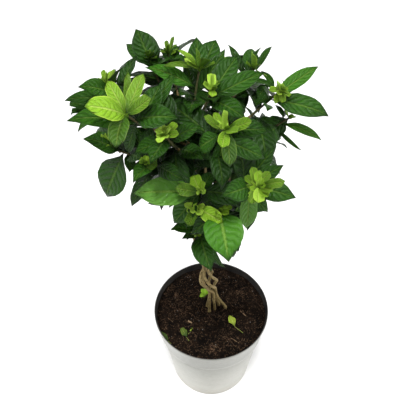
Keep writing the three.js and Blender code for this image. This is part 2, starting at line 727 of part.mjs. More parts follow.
// The blade's outer part may not cross a blade of its own shoot, and no part of it may touch anything
// else
function placeLeaf(leafAt, home, taken, isRule) {
  for (const tried of poses(leafAt)) {
    const tip = tried.root.clone().addScaledVector(tried.direction, tried.long);
    if (isRule && !insideCrown(tip)) continue;
    const whole = solid(bladeGeometry(tried, 2 * blade.clearance));
    const outFrom = tried.direction.dot(tried.root) + blade.outerFrom * tried.long;
    const outer = whole.trimByPlane(tried.direction.toArray(), outFrom);
    const [wholeBox, outerBox] = [whole.boundingBox(), outer.boundingBox()];
    const blocked = taken.some((other) => {
      if (other.home === home) return other.isBlade && meets(outer, outerBox, other);
      return meets(whole, wholeBox, other);
    });
    whole.delete();
    outer.delete();
    if (!blocked) {
      const made = solid(bladeGeometry(tried));
      taken.push({ home, solid: made, box: made.boundingBox(), isBlade: true });
      return made;
    }
  }
  return null;
}

function growLeaves(shoots, taken) {
  const wood = shoots.map(({ base, tip }) => rod(base, tip, twig.radius, twig.tipRadius, twig.sides));
  const grown = shoots.map((shoot, i) => {
    const from = onTwig(shoot, -gap);
    const to = onTwig(shoot, -bud.length);
    const stub = shoot.young && rod(from, to, bud.radius, bud.tipRadius, bud.sides);
    taken.push({ home: shoot.name, solid: wood[i], box: wood[i].boundingBox() });
    if (stub) taken.push({ home: `${shoot.name}_tip`, solid: stub, box: stub.boundingBox() });
    return { shoot, dark: [wood[i]], young: stub ? [stub] : [] };
  });
  const addSeen = ({ shoot, dark, young }, isYoung) => {
    const home = isYoung ? `${shoot.name}_tip` : shoot.name;
    (isYoung ? shoot.young ?? [] : shoot.dark).forEach((spec, k) => {
      const made = placeLeaf((slide) => seenLeaf(shoot, spec, k, isYoung, slide), home, taken, false);
      if (made) (isYoung ? young : dark).push(made);
    });
  };
  const addByRule = (home, leaves, list) => {
    for (const leaf of leaves) {
      const made = placeLeaf((slide) => slid(leaf, slide), home, taken, true);
      if (made) list.push(made);
    }
  };
  grown.forEach((one) => addSeen(one, false));
  grown.forEach((one) => addSeen(one, true));
  for (const { shoot, young } of grown) {
    if (shoot.young?.length === 0) addByRule(`${shoot.name}_tip`, youngLeaves(shoot), young);
  }
  for (const w of whorls.keys()) {
    for (const { shoot, dark } of grown) addByRule(shoot.name, whorlLeaves(shoot, w), dark);
  }
  return grown;
}

// ---- What lies and grows on the soil

// A dropped leaf follows the soil under it
function fallenLeaf([stalk, tip], wide) {
  const root = atHeight(stalk, soil.level).setZ(0);
  const end = atHeight(tip, soil.level).setZ(0);
  const long = root.distanceTo(end);
  const direction = end.sub(root).normalize();
  const form = { arch: 0, curl: 0, fold: 0.25, wave: 0.12, stations: darkStations };
  const geometry = bladeGeometry({ root, direction, face: zAxis, long, wide, ...form });
  const at = geometry.attributes.position;
  const seat = blade.thickness / 2 + 1.2 * gap;
  for (let i = 0; i < at.count; i += 1) {
    at.setZ(i, at.getZ(i) + seat + soilHeight(at.getX(i), at.getY(i)));
  }
  return solid(geometry);
}

function makeSprout() {
  const foot = vec(sprout.x, sprout.y, soil.level - sprout.depth);
  const top = atHeight(sprout.top, sprout.height);
  const bend = vec(sprout.x, sprout.y, soil.level + 4);
  const stalk = tube(new THREE.CatmullRomCurve3([foot, bend, top]), sprout.radius, sprout.radius, 4, 5);
  const leafTo = (px, wide, long, z) => {
    const direction = atHeight(px, z).sub(top).normalize();
    const face = faceOf(direction, zAxis, top);
    const form = { arch: 0.05, curl: 0, fold: 0.2, wave: 0, stations: darkStations };
    return solid(bladeGeometry({ root: top, direction, face, long, wide, ...form }));
  };
  const leaves = sprout.leaves.map(({ px, wide, long, up }) => leafTo(px, wide, long, sprout.height + up));
  return fused([stalk, ...leaves]);
}

// ---- The plant put together

const group = new THREE.Group();

function addMesh(name, made, colour, roughness) {
  const material = new THREE.MeshStandardMaterial({ color: colour, roughness, metalness: 0 });
  const mesh = new THREE.Mesh(geometryOf(made), material);
  mesh.name = name;
  group.add(mesh);
}

const shoots = placeShoots();
const owners = shoots.map(ownerOf);
const stems = legs.map((leg, i) => makeStem(leg, shoots.filter((_, k) => owners[k] === i)));
const planted = [...legs.map(({ x, y }) => ({ x, y, depth: soil.legDepth, radius: stem.radius })), sprout];
const stemHoles = planted.map(({ x, y, depth, radius }) => {
  return solid(upright(radius + stem.holeGap, soil.level - depth - gap, soil.level + 20, x, y));
});

addMesh("pot", makePot(), colours.pot, 0.35);
addMesh("soil", makeSoil(stemHoles), colours.soil, 0.95);
stems.forEach((made, i) => addMesh(`stem_${i + 1}`, made, colours.bark, 0.8));

const taken = stems.map((made, i) => ({ home: `stem_${i + 1}`, solid: made, box: made.boundingBox() }));
for (const { shoot, dark, young } of growLeaves(shoots, taken)) {
  addMesh(`shoot_${shoot.name}`, fused(dark), colours.leaf, 0.35);
  if (young.length) addMesh(`young_${shoot.name}`, fused(young), colours.young, 0.4);
}
fallen.forEach(({ px, wide }, i) => {
  addMesh(`fallen_leaf_${i + 1}`, fallenLeaf(px, wide), colours.fallen, 0.6);
});
addMesh("sprout", makeSprout(), colours.young, 0.45);

export default group;
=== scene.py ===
import bpy
import bmesh
import math
import random
from mathutils import Matrix, Quaternion, Vector, noise
from mathutils.kdtree import KDTree


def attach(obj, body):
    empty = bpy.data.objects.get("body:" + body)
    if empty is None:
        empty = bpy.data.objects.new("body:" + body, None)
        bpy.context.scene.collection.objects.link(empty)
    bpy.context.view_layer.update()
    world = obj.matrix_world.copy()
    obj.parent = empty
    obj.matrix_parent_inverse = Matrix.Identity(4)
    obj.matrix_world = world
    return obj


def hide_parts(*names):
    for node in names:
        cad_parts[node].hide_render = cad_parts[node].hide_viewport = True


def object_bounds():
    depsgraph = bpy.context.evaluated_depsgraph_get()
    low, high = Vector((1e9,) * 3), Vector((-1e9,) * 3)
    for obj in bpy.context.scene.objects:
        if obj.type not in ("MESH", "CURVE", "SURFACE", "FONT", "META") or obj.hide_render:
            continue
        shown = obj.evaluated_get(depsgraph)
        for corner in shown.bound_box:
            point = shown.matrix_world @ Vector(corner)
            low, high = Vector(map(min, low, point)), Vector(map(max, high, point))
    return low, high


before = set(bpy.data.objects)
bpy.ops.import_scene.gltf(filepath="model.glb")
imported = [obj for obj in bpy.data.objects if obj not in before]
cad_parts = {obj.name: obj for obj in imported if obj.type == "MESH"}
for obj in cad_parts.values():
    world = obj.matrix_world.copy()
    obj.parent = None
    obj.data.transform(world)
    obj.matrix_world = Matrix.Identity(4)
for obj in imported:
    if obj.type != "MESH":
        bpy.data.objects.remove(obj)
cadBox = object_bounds()
print("frame loaded,", len(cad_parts), "nodes")

mm = 0.001
zAxis = Vector((0, 0, 1))


# an output of a node, the first one unless another is asked for: sums of it become math nodes
class Flow:
    def __init__(self, node, key=0):
        self.node = node
        self.key = key
        self.tree = node.id_data

    def __getitem__(self, key):
        return Flow(self.node, key)

    def __abs__(self):
        return calc("ABSOLUTE", self)


def feed(node, feeds):
    for key, value in feeds.items():
        socket = node.inputs[key]
        if isinstance(value, Flow):
            value.tree.links.new(value.node.outputs[value.key], socket)
        else:
            socket.default_value = (*value, 1) if socket.type == "RGBA" else value


def put(tree, kind, feeds=None, **settings):
    node = tree.nodes.new(kind)
    for key, value in settings.items():
        setattr(node, key, value)
    feed(node, feeds or {})
    return Flow(node)


def calc(operation, *values):
    tree = next(value.tree for value in values if isinstance(value, Flow))
    return put(tree, "ShaderNodeMath", dict(enumerate(values)), operation=operation)


signs = {"add": "ADD", "sub": "SUBTRACT", "mul": "MULTIPLY", "truediv": "DIVIDE", "pow": "POWER"}
for sign, operation in signs.items():
    setattr(Flow, "__%s__" % sign, lambda a, b, operation=operation: calc(operation, a, b))
    setattr(Flow, "__r%s__" % sign, lambda a, b, operation=operation: calc(operation, b, a))


def vec(operation, a, b):
    return put(a.tree, "ShaderNodeVectorMath", {0: a, 1: b}, operation=operation)


def scaled(vector, amount):
    return put(vector.tree, "ShaderNodeVectorMath", {0: vector, "Scale": amount}, operation="SCALE")


def xyz(vector):
    return put(vector.tree, "ShaderNodeSeparateXYZ", {0: vector})


def joined(x, y, z=0.0):
    return put(x.tree, "ShaderNodeCombineXYZ", {0: x, 1: y, 2: z})


def ease(value, low, high, toLow=0.0, toHigh=1.0):
    feeds = dict(enumerate((value, low, high, toLow, toHigh)))
    return put(value.tree, "ShaderNodeMapRange", feeds, interpolation_type="SMOOTHSTEP")


def noisy(where, scale, detail):
    return put(where.tree, "ShaderNodeTexNoise", {"Vector": where, "Scale": scale, "Detail": detail})


def newTree(kind, name, inputs, outputs):
    tree = bpy.data.node_groups.new(name, kind)
    for side, sockets in (("INPUT", inputs), ("OUTPUT", outputs)):
        for label, socketKind in sockets.items():
            tree.interface.new_socket(label, in_out=side, socket_type="NodeSocket" + socketKind)
    return tree, put(tree, "NodeGroupInput")


def geometryTree(name, inputs):
    return newTree("GeometryNodeTree", name, {"Geometry": "Geometry", **inputs}, {"Geometry": "Geometry"})


def realized(geometry):
    return put(geometry.tree, "GeometryNodeRealizeInstances", {0: geometry})


def endTree(geometry, given):
    feeds = {0: realized(geometry), "Material": given["Material"]}
    dressed = put(given.tree, "GeometryNodeSetMaterial", feeds)
    put(given.tree, "NodeGroupOutput", {0: dressed})
    return given.tree


def moved(geometry, **feeds):
    return put(geometry.tree, "GeometryNodeSetPosition", {"Geometry": geometry, **feeds})


def smooth(geometry, selection=True, isSmooth=True, domain="FACE"):
    feeds = {0: geometry, 1: selection, 2: isSmooth}
    return put(geometry.tree, "GeometryNodeSetShadeSmooth", feeds, domain=domain)


def named(tree, name, kind="FLOAT"):
    return put(tree, "GeometryNodeInputNamedAttribute", {"Name": name}, data_type=kind)


def stored(geometry, name, value, kind="FLOAT", domain="POINT"):
    feeds = {"Geometry": geometry, "Name": name, "Value": value}
    return put(geometry.tree, "GeometryNodeStoreNamedAttribute", feeds, data_type=kind, domain=domain)


def linked(name, data):
    piece = bpy.data.objects.new(name, data)
    bpy.context.scene.collection.objects.link(piece)
    return piece


# the plain mesh that a piece's modifiers give takes their place
def applied(piece):
    depsgraph = bpy.context.evaluated_depsgraph_get()
    plain = bpy.data.meshes.new_from_object(piece.evaluated_get(depsgraph))
    piece.modifiers.clear()
    piece.data = plain
    plain.name = piece.name
    return plain


# a mesh grown through a tree
def grown(name, mesh, tree, values):
    piece = linked(name, mesh)
    modifier = piece.modifiers.new("Grow", "NODES")
    modifier.node_group = tree
    for item in tree.interface.items_tree:
        if item.in_out == "INPUT" and item.name in values:
            modifier[item.identifier] = values[item.name]
    plain = applied(piece)
    plain.materials.clear()
    plain.materials.append(values["Material"])
    return piece


def finished(piece, slot, *nodes):
    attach(piece, "root")
    if nodes:
        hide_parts(*nodes)


def newMaterial(name):
    material = bpy.data.materials.new(name)
    material.use_nodes = True
    return material, material.node_tree, material.node_tree.nodes["Principled BSDF"]


# the camera stands where the eye of the photograph was (mm, degrees, pixels)
eye = {"at": (-4.8, -378.4, 737.0), "pitch": 44.44, "focal": 450.0, "middle": 208.0}
eyePoint = Vector(eye["at"])

cameraData = bpy.data.cameras.new("camera")
cameraData.sensor_width = 36
cameraData.lens = 36 * eye["focal"] / (2 * eye["middle"])
cameraData.clip_end = 20
camera = linked("camera", cameraData)
camera.location = eyePoint * mm
camera.rotation_euler = (math.radians(90 - eye["pitch"]), 0, 0)
bpy.context.scene.camera = camera

light = {
    "world": 0.1, "floor": 0.8, "floorHalf": 6.0,
    "lamps": [  # name, where it shines from, how wide it looks (degrees), strength
        ("leftLight", (-1.0, 0.0, 1.4), 11, 2.3),
        ("rightLight", (1.2, 0.05, 0.95), 24, 2.2),
        ("frontLight", (0.0, -0.36, 1.7), 10, 2.0),
        ("fillLight", (-0.15, -1.0, 1.2), 40, 0.8),
    ],
}


def softLamp(name, place, spread, strength):
    data = bpy.data.lights.new(name, "SUN")
    data.angle = math.radians(spread)
    data.energy = strength
    lamp = linked(name, data)
    lamp.location = place
    lamp.rotation_euler = (-Vector(place)).to_track_quat("-Z", "Y").to_euler()


def makeStage():
    world = bpy.data.worlds.new("studio")
    world.use_nodes = True
    feed(world.node_tree.nodes["Background"], {"Color": (1, 1, 1), "Strength": light["world"]})
    bpy.context.scene.world = world
    for lamp in light["lamps"]:
        softLamp(*lamp)
    bpy.context.scene.view_settings.view_transform = "Standard"
    mesh = bpy.data.meshes.new("floor")
    half = light["floorHalf"]
    corners = [(-half, -half, 0), (half, -half, 0), (half, half, 0), (-half, half, 0)]
    mesh.from_pydata(corners, [], [(0, 1, 2, 3)])
    material, _, shader = newMaterial("floorWhite")
    feed(shader, {"Base Color": (light["floor"],) * 3, "Roughness": 0.9})
    mesh.materials.append(material)
    linked("floor", mesh)


makeStage()
print("camera, light and floor set")


# places: a pixel's line of sight, and the point of it at a height or at a length from a root
def sightLine(px):
    pitch = math.radians(eye["pitch"])
    right = (px[0] - eye["middle"]) / eye["focal"]
    up = (eye["middle"] - px[1]) / eye["focal"]
    forward = Vector((0, math.cos(pitch), -math.sin(pitch)))
    return (forward + Vector((right, up * math.sin(pitch), up * math.cos(pitch)))).normalized()


def atHeight(px, z):
    direction = sightLine(px)
    return eyePoint + direction * ((z - eyePoint.z) / direction.z)


def tipThrough(px, base, long, turn):
    direction = sightLine(px)
    closest = eyePoint + direction * (base - eyePoint).dot(direction)
    off = closest - base
    if off.length >= long:
        return base + off.normalized() * long
    return closest + direction * (turn * math.sqrt(long * long - off.length_squared))


def wobble(n):
    s = math.sin(n * 12.9898) * 43758.5453
    return s - math.floor(s)


crown = {
    "low": 244.9, "widest": 498.5, "top": 542.8, "radius": 115.6,
    "middle": (9.3, -3.9, 260.7), "lean": (-0.12, 0.05),
}


def crownMiddle(z):
    x, y, low = crown["middle"]
    return Vector((x + crown["lean"][0] * (z - low), y + crown["lean"][1] * (z - low), z))


def crownRadius(z):
    if z < crown["widest"]:
        down = (crown["widest"] - z) / (crown["widest"] - crown["low"])
        return crown["radius"] * (1 - down ** 1.03)
    up = (z - crown["widest"]) / (crown["top"] - crown["widest"])
    return crown["radius"] * math.sqrt(max(0, 1 - up ** 2))


soil = {"level": 150.0, "mound": 1.6, "moundRadius": 77.5, "lump": 1.1, "lumpLong": 9.1, "lumpWide": 10.3}


def soilHeight(x, y):
    mound = soil["mound"] * (1 - (x * x + y * y) / soil["moundRadius"] ** 2)
    lumps = soil["lump"] * math.sin(x / soil["lumpLong"] + 0.7) * math.cos(y / soil["lumpWide"] - 0.4)
    return soil["level"] - 1 + mound + lumps


# a leaf that the photograph shows: pixel of its tip, length, width, roll about its length
def near(u, v, long, wide, roll=0):
    return {"tip": (u, v), "long": long, "wide": wide, "roll": roll, "turn": -1}


def far(u, v, long, wide, roll=0):
    return {"tip": (u, v), "long": long, "wide": wide, "roll": roll, "turn": 1}


seenShoots = [
    ("back_left", (150, 60), 505, 36,
     [far(125, 43, 44, 14, -50), near(171, 58, 28, 13), far(136, 28, 50, 29, -80)],
     [near(148, 50, 15, 7), near(154, 51, 16, 7), near(146, 58, 13, 6), near(157, 58, 15, 6)]),
    ("back_spiky", (169, 56), 512, 36,
     [near(184, 58, 26, 12), near(158, 60, 24, 11)],
     [far(166, 40, 20, 5), far(172, 38, 21, 5), far(177, 44, 20, 5), near(164, 50, 14, 5)]),
    ("top", (199, 73), 526, 36,
     [far(216, 38, 50, 24), far(197, 36, 46, 20), near(146, 66, 54, 17, -20), far(181, 49, 36, 17),
      far(229, 44, 52, 16, 50), near(180, 94, 40, 18), near(190, 112, 46, 18)],
     [near(178, 50, 30, 9), near(193, 49, 27, 9), near(163, 66, 38, 8), near(215, 63, 20, 7),
      near(187, 64, 18, 8), near(203, 59, 17, 11)]),
    ("top_front", (212, 91), 532, 36,
     [far(238, 54, 48, 20), far(265, 71, 55, 18), near(246, 119, 50, 19), near(215, 106, 34, 18)],
     [far(211, 73, 18, 8), near(203, 84, 15, 7), near(218, 84, 13, 7), near(212, 97, 12, 7)]),
    ("back_right", (252, 70), 520, 36,
     [far(253, 47, 40, 18), far(229, 43, 40, 11), near(275, 87, 34, 9), far(273, 44, 42, 12)],
     [near(253, 53, 24, 11), near(246, 63, 14, 7), near(259, 64, 13, 6)]),
    ("right", (279, 92), 510, 36,
     [far(319, 65, 54, 15), near(331, 115, 60, 23, 20), near(262, 86, 24, 10), near(268, 110, 28, 12)],
     [near(277, 82, 16, 8), near(285, 86, 15, 8), near(269, 90, 14, 7), near(273, 103, 13, 7),
      near(282, 107, 14, 8), near(289, 97, 13, 7)]),
    ("right_low", (287, 119), 478, 36,
     [near(326, 141, 46, 10, 25), near(253, 149, 50, 23), far(302, 152, 40, 5, 75), near(262, 138, 32, 15)],
     [near(295, 116, 13, 7), near(285, 111, 11, 5)]),
    ("front_top", (224, 131), 514, 36,
     [far(197, 149, 42, 17), far(200, 160, 46, 17), far(222, 181, 50, 18), far(266, 158, 50, 19)],
     [near(204, 116, 25, 7), far(214, 112, 21, 6), far(224, 110, 22, 8), near(252, 121, 28, 10),
      near(239, 134, 19, 10), near(222, 148, 24, 10), near(230, 167, 33, 13)]),
    ("left_top", (129, 117), 518, 36,
     [near(178, 117, 47, 22), far(126, 154, 42, 16), near(67, 119, 64, 21), far(160, 83, 42, 20),
      far(175, 71, 60, 14)],
     [near(85, 106, 44, 21, -15), far(107, 80, 41, 13), far(128, 71, 43, 7), far(143, 73, 41, 13),
      near(151, 98, 29, 12), near(116, 148, 35, 18)]),
    ("far_left", (108, 88), 500, 36,
     [near(79, 86, 42, 20, -60), far(136, 54, 50, 18), far(75, 131, 56, 18), near(58, 99, 58, 17, -30)],
     [far(96, 79, 18, 6), far(102, 72, 19, 6), far(107, 69, 20, 6), far(115, 70, 19, 6)]),
    ("left_low", (114, 149), 478, 36,
     [near(84, 138, 40, 20, -15), far(105, 198, 57, 33, -10), near(142, 159, 32, 15)],
     [near(101, 136, 17, 6), far(110, 131, 18, 6), near(103, 149, 14, 6), far(119, 138, 13, 6)]),
    ("middle_left", (165, 136), 506, 36,
     [near(150, 163, 36, 16), near(134, 153, 38, 16), near(201, 126, 40, 15)],
     [near(155, 130, 13, 6), far(161, 124, 14, 6), far(168, 126, 12, 6), far(177, 123, 17, 7),
      near(179, 134, 15, 7), near(158, 143, 12, 6)]),
    ("middle_low", (148, 163), 474, 36,
     [near(133, 181, 38, 17), far(130, 207, 50, 15), near(184, 180, 44, 16)],
     [far(145, 155, 12, 5), far(152, 156, 11, 5), near(140, 160, 12, 6), near(158, 166, 13, 11)]),
    ("front_right", (256, 186), 458, 36,
     [near(222, 196, 40, 21), far(247, 230, 50, 19), near(299, 198, 48, 21), far(286, 164, 42, 15),
      far(275, 147, 48, 16), far(271, 212, 40, 16)],
     [near(243, 175, 15, 7), far(249, 162, 19, 8), far(272, 168, 17, 8), near(273, 191, 17, 9),
      near(258, 203, 17, 11), near(246, 198, 16, 8), near(247, 207, 19, 9), near(285, 181, 29, 9)]),
    ("front_middle", (200, 192), 450, 36,
     [near(132, 193, 64, 27), far(173, 224, 46, 22), far(213, 171, 32, 13)],
     [far(193, 175, 19, 12), near(175, 188, 27, 12), far(203, 181, 12, 6), near(206, 190, 10, 6)]),
    ("front_low_left", (197, 207), 424, 36,
     [near(186, 227, 28, 13)],
     [near(187, 205, 13, 7), far(193, 200, 12, 7), near(202, 215, 12, 8), near(220, 227, 30, 16),
      near(188, 226, 20, 11)]),
    ("front_low", (219, 210), 424, 36,
     [near(229, 261, 56, 38), near(239, 250, 50, 22)],
     [far(213, 203, 11, 7), far(222, 202, 12, 6), near(229, 208, 12, 6), near(216, 217, 11, 8)]),
    ("lowest", (196, 232), 372, 28,
     [near(171, 229, 36, 15, 50), near(211, 271, 50, 25), near(226, 272, 52, 14, 30)],
     [near(192, 229, 11, 6), near(201, 231, 11, 6)]),
]

# shoots that the photograph hides: height, reach, twig length and turns about the crown's middle line
hiddenRings = [
    (500, 0.72, 36, [66]),
    (448, 0.72, 36, [14, 52, 92, 132, 176]),
    (392, 0.66, 32, [-22, 40, 100, 190]),
    (346, 0.68, 20, [102, 174, -42]),
]
# leaves, down, spread, long, droop
whorls = [(3, 7, 52, 46, 0.05), (3, 18, 74, 54, 0.14), (2, 30, 92, 56, 0.24)]
leafShape = {"slim": 0.43, "stalk": 1.1, "arch": 0.1, "fold": 0.16, "wave": 0.05}
oldStations = [(0.14, 0.14), (0.45, 1.0), (0.77, 0.76)]
youngStations = [(0.3, 0.85), (0.7, 0.9)]
slides = [0, 5, 10, 15, 20]
bends = [  # yaw, pitch, roll, share of the length
    (0, 7, 0, 1), (0, -7, 0, 1), (9, 0, 0, 1), (-9, 0, 0, 1), (0, 0, 22, 1),
    (0, 0, -22, 1), (10, 9, 0, 1), (-10, 9, 0, 1), (10, -9, 0, 1), (-10, -9, 0, 1), (0, 15, 0, 0.95),
    (0, -15, 0, 0.95), (18, 0, 18, 0.9), (-18, 0, -18, 0.9), (0, 22, 0, 0.85), (0, -22, 0, 0.85),
    (24, 8, 0, 0.85), (-24, 8, 0, 0.85), (24, -12, 0, 0.75), (-24, -12, 0, 0.75), (0, 0, 0, 0.65),
]


def turned(vector, axis, degrees):
    return Quaternion(axis, math.radians(degrees)) @ vector


def shootAxis(tip):
    out = tip - crownMiddle(tip.z)
    out.z = 0
    drop = 25 / 130 * max(0, 505 - tip.z)
    tilt = math.radians(14 + 42 * out.length / crown["radius"] + drop)
    axis = out.normalized() * math.sin(tilt)
    axis.z = math.cos(tilt)
    return axis


def placeShoots():
    shoots = []
    for name, px, z, twigLong, old, young in seenShoots:
        shoots.append({
            "name": name, "tip": atHeight(px, z), "twigLong": twigLong, "old": old, "young": young})
    for z, reach, twigLong, turns in hiddenRings:
        for turn in turns:
            angle = math.radians(turn)
            tip = crownMiddle(z) + Vector((math.cos(angle), math.sin(angle), 0)) * reach * crownRadius(z)
            name = "hidden_" + str(len(shoots) - len(seenShoots) + 1)
            shoots.append({"name": name, "tip": tip, "twigLong": twigLong, "old": [], "young": []})
    for i, shoot in enumerate(shoots):
        shoot["index"] = i
        shoot["axis"] = shootAxis(shoot["tip"])
        shoot["base"] = shoot["tip"] - shoot["axis"] * shoot["twigLong"]
    return shoots


def onTwig(shoot, down):
    return shoot["tip"] - shoot["axis"] * min(down, shoot["twigLong"] - 2)


# a blade's face looks along its twig, a little to the sky and, where it is seen, to the eye
def faceOf(direction, axis, root=None):
    def across(v):
        return v - direction * v.dot(direction)
    face = across(axis)
    if face.length < 0.05:
        face = across(Vector((0.3, 0.2, 1)))
    face = face.normalized() + across(zAxis) * 0.35
    if root is not None:
        face += across((eyePoint - root).normalized()) * 0.8
    return face.normalized()


def finishLeaf(leaf, shoot, k, isYoung):
    own = wobble(shoot["index"] * 31 + k * 7 + (500 if isYoung else 0))
    small = isYoung and leaf["long"] < 30
    share = 0.2 if leaf.get("turn", 0) > 0 else 0.6 + 0.8 * own
    leaf["arch"] = -0.08 if small else leafShape["arch"] * share
    leaf["curl"] = -0.1 if small else 0.1 * own
    leaf["fold"] = leafShape["fold"] * (1.9 if small else 0.5 + own)
    leaf["wave"] = 0.0 if small else leafShape["wave"]
    leaf["small"] = small
    leaf["blunt"] = 1.0 if small else 0.55 if isYoung else 0.0
    leaf["own"] = own
    leaf["number"] = k
    leaf["isYoung"] = isYoung
    leaf["axis"] = shoot["axis"]
    leaf["spare"] = shoot["twigLong"] - 2 - (shoot["tip"] - leaf["root"]).length
    return leaf


def seenLeaf(shoot, spec, k, isYoung, slide):
    down = -2 - 0.7 * k + 0.1 * slide if isYoung else 8 + 3.4 * k + slide
    root = onTwig(shoot, down)
    direction = (tipThrough(spec["tip"], root, spec["long"], spec["turn"]) - root).normalized()
    face = turned(faceOf(direction, shoot["axis"], root), direction, spec["roll"])
    return finishLeaf(dict(spec, root=root, direction=direction, face=face), shoot, k, isYoung)


def bent(leaf, bend):
    yaw, pitch, roll, scale = bend
    direction = turned(leaf["direction"], leaf["face"], yaw)
    side = direction.cross(leaf["face"]).normalized()
    direction = turned(direction, side, pitch)
    face = turned(turned(leaf["face"], side, pitch), direction, roll)
    long, wide = leaf["long"] * scale, leaf["wide"] * math.sqrt(scale)
    return dict(leaf, direction=direction, face=face, long=long, wide=wide)


def slid(leaf, slide):
    by = 0.1 * slide if leaf["isYoung"] else max(-0.4 * slide, -leaf["spare"])
    return dict(leaf, root=leaf["root"] + leaf["axis"] * by)


def ruleLeaf(shoot, k, down, outTurn, spread, long, slim, droop, isYoung):
    axis = shoot["axis"]
    side = Vector((-axis.y, axis.x, 0)).normalized()
    up = axis.cross(side)
    out = side * math.cos(outTurn) + up * math.sin(outTurn)
    direction = (axis * math.cos(spread) + out * math.sin(spread) - zAxis * droop).normalized()
    leaf = {"root": onTwig(shoot, down), "direction": direction, "face": faceOf(direction, axis)}
    return finishLeaf(dict(leaf, long=long, wide=long * slim), shoot, k, isYoung)


def whorlLeaves(shoot, w):
    count, down, spreadBy, length, droop = whorls[w]
    leaves = []
    for n in range(count):
        k = 20 + 3 * w + n
        own = wobble(shoot["index"] * 17 + k * 3)
        turn = math.radians(shoot["index"] * 47 + w * 60 + n * 360 / count + 30 * own)
        spread = math.radians(spreadBy + 16 * (own - 0.5))
        long = length * (0.86 + 0.28 * own)
        leaves.append(ruleLeaf(shoot, k, down + 3 * n, turn, spread, long, leafShape["slim"], droop, False))
    return leaves


def tipLeaves(shoot):
    leaves = []
    for k in range(5):
        own = wobble(shoot["index"] * 23 + k * 5)
        turn = math.radians(k * 137.5 + 60 * own)
        spread = math.radians(30 * (0.6 + 0.8 * own))
        leaves.append(ruleLeaf(shoot, 40 + k, -1.4 - k, turn, spread, 19 * (0.7 + 0.5 * own), 0.42, 0, True))
    return leaves


# the corners that a leaf's solid has, to find the place where the model holds it
def bladeCorners(leaf):
    direction, face, long = leaf["direction"], leaf["face"], leaf["long"]
    side = direction.cross(face)

    def middle(t):
        rise = leaf["arch"] * 4 * t * (1 - t) - leaf["curl"] * t * t * (1 - t) * 2
        return leaf["root"] + direction * long * t + face * long * rise
    corners = [middle(1)]
    for k, (t, share) in enumerate(youngStations if leaf["small"] else oldStations):
        out = leaf["wide"] / 2 * share
        if share < 0.3:
            out = min(out, leafShape["stalk"])
        wave = leaf["wave"] * out * (1 if k % 2 else -1)
        lift = leaf["fold"] * out
        corners.append(middle(t) - side * out + face * (lift + wave))
        corners.append(middle(t) + side * out + face * (lift - wave))
    return corners


def nodePoints(node):
    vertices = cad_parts[node].data.vertices
    tree = KDTree(len(vertices))
    for i, vertex in enumerate(vertices):
        tree.insert(vertex.co / mm, i)
    tree.balance()
    return tree


def heldPlace(poses, points):
    best, bestFound = None, 2
    for pose in poses:
        found = sum(points.find(corner)[2] < 0.12 for corner in bladeCorners(pose))
        if found > bestFound:
            best, bestFound = pose, found
    return best


def gatherLeaves(shoots):
    homes, missed = {}, []
    for shoot in shoots:
        oldHome, youngHome = "shoot_" + shoot["name"], "young_" + shoot["name"]
        for home, specs, isYoung in ((oldHome, shoot["old"], False), (youngHome, shoot["young"], True)):
            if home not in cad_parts:
                continue
            points = nodePoints(home)
            homes[home] = []
            for k, spec in enumerate(specs):
                poses = [seenLeaf(shoot, spec, k, isYoung, slide) for slide in slides]
                poses += [bent(poses[0], bend) for bend in bends]
                homes[home].append(heldPlace(poses, points))
                if homes[home][-1] is None:
                    missed.append(dict(poses[0], home=shoot["name"]))
            byRule = [leaf for w in range(len(whorls)) for leaf in whorlLeaves(shoot, w)]
            if isYoung:
                byRule = [] if specs else tipLeaves(shoot)
            for leaf in byRule:
                poses = [slid(leaf, slide) for slide in slides]
                poses += [bent(slid(leaf, 0), bend) for bend in bends]
                homes[home].append(heldPlace(poses, points))
            homes[home] = [leaf for leaf in homes[home] if leaf]
            if not homes[home]:  # the model has a bare bud here, and its young leaves are grown on it
                homes[home] = [missed.pop() for _ in specs]
    return homes, missed


shoots = placeShoots()
leafHomes, missedLeaves = gatherLeaves(shoots)
found = sum(len(leaves) for leaves in leafHomes.values())
print("leaves found in the model:", found, "and seen ones missed:", len(missedLeaves))


# the tree that turns each point into a leaf: a closed blade, shaped by the point's own values
edgeRoom = 0.05 * mm
leafGrid = {
    "Along": 11, "Across": 5,
    "Low end": [side + edgeRoom for side in cadBox[0]], "High end": [side - edgeRoom for side in cadBox[1]]}
oldOutline = [
    (0, 0), (0.06, 0.08), (0.13, 0.2), (0.26, 0.7), (0.44, 1.02), (0.6, 1.0), (0.76, 0.76), (0.87, 0.43),
    (0.95, 0.15), (1, 0)]
youngOutline = [
    (0, 0), (0.06, 0.18), (0.22, 0.58), (0.42, 0.93), (0.62, 1.08), (0.8, 1.0), (0.92, 0.7), (0.98, 0.36),
    (1, 0)]


def outlineCurve(t, outline):
    flow = put(t.tree, "ShaderNodeFloatCurve", {"Value": t})
    curve = flow.node.mapping.curves[0]
    curve.points[0].location = outline[0]
    curve.points[1].location = outline[-1]
    for point in outline[1:-1]:
        curve.points.new(*point)
    flow.node.mapping.update()
    return flow


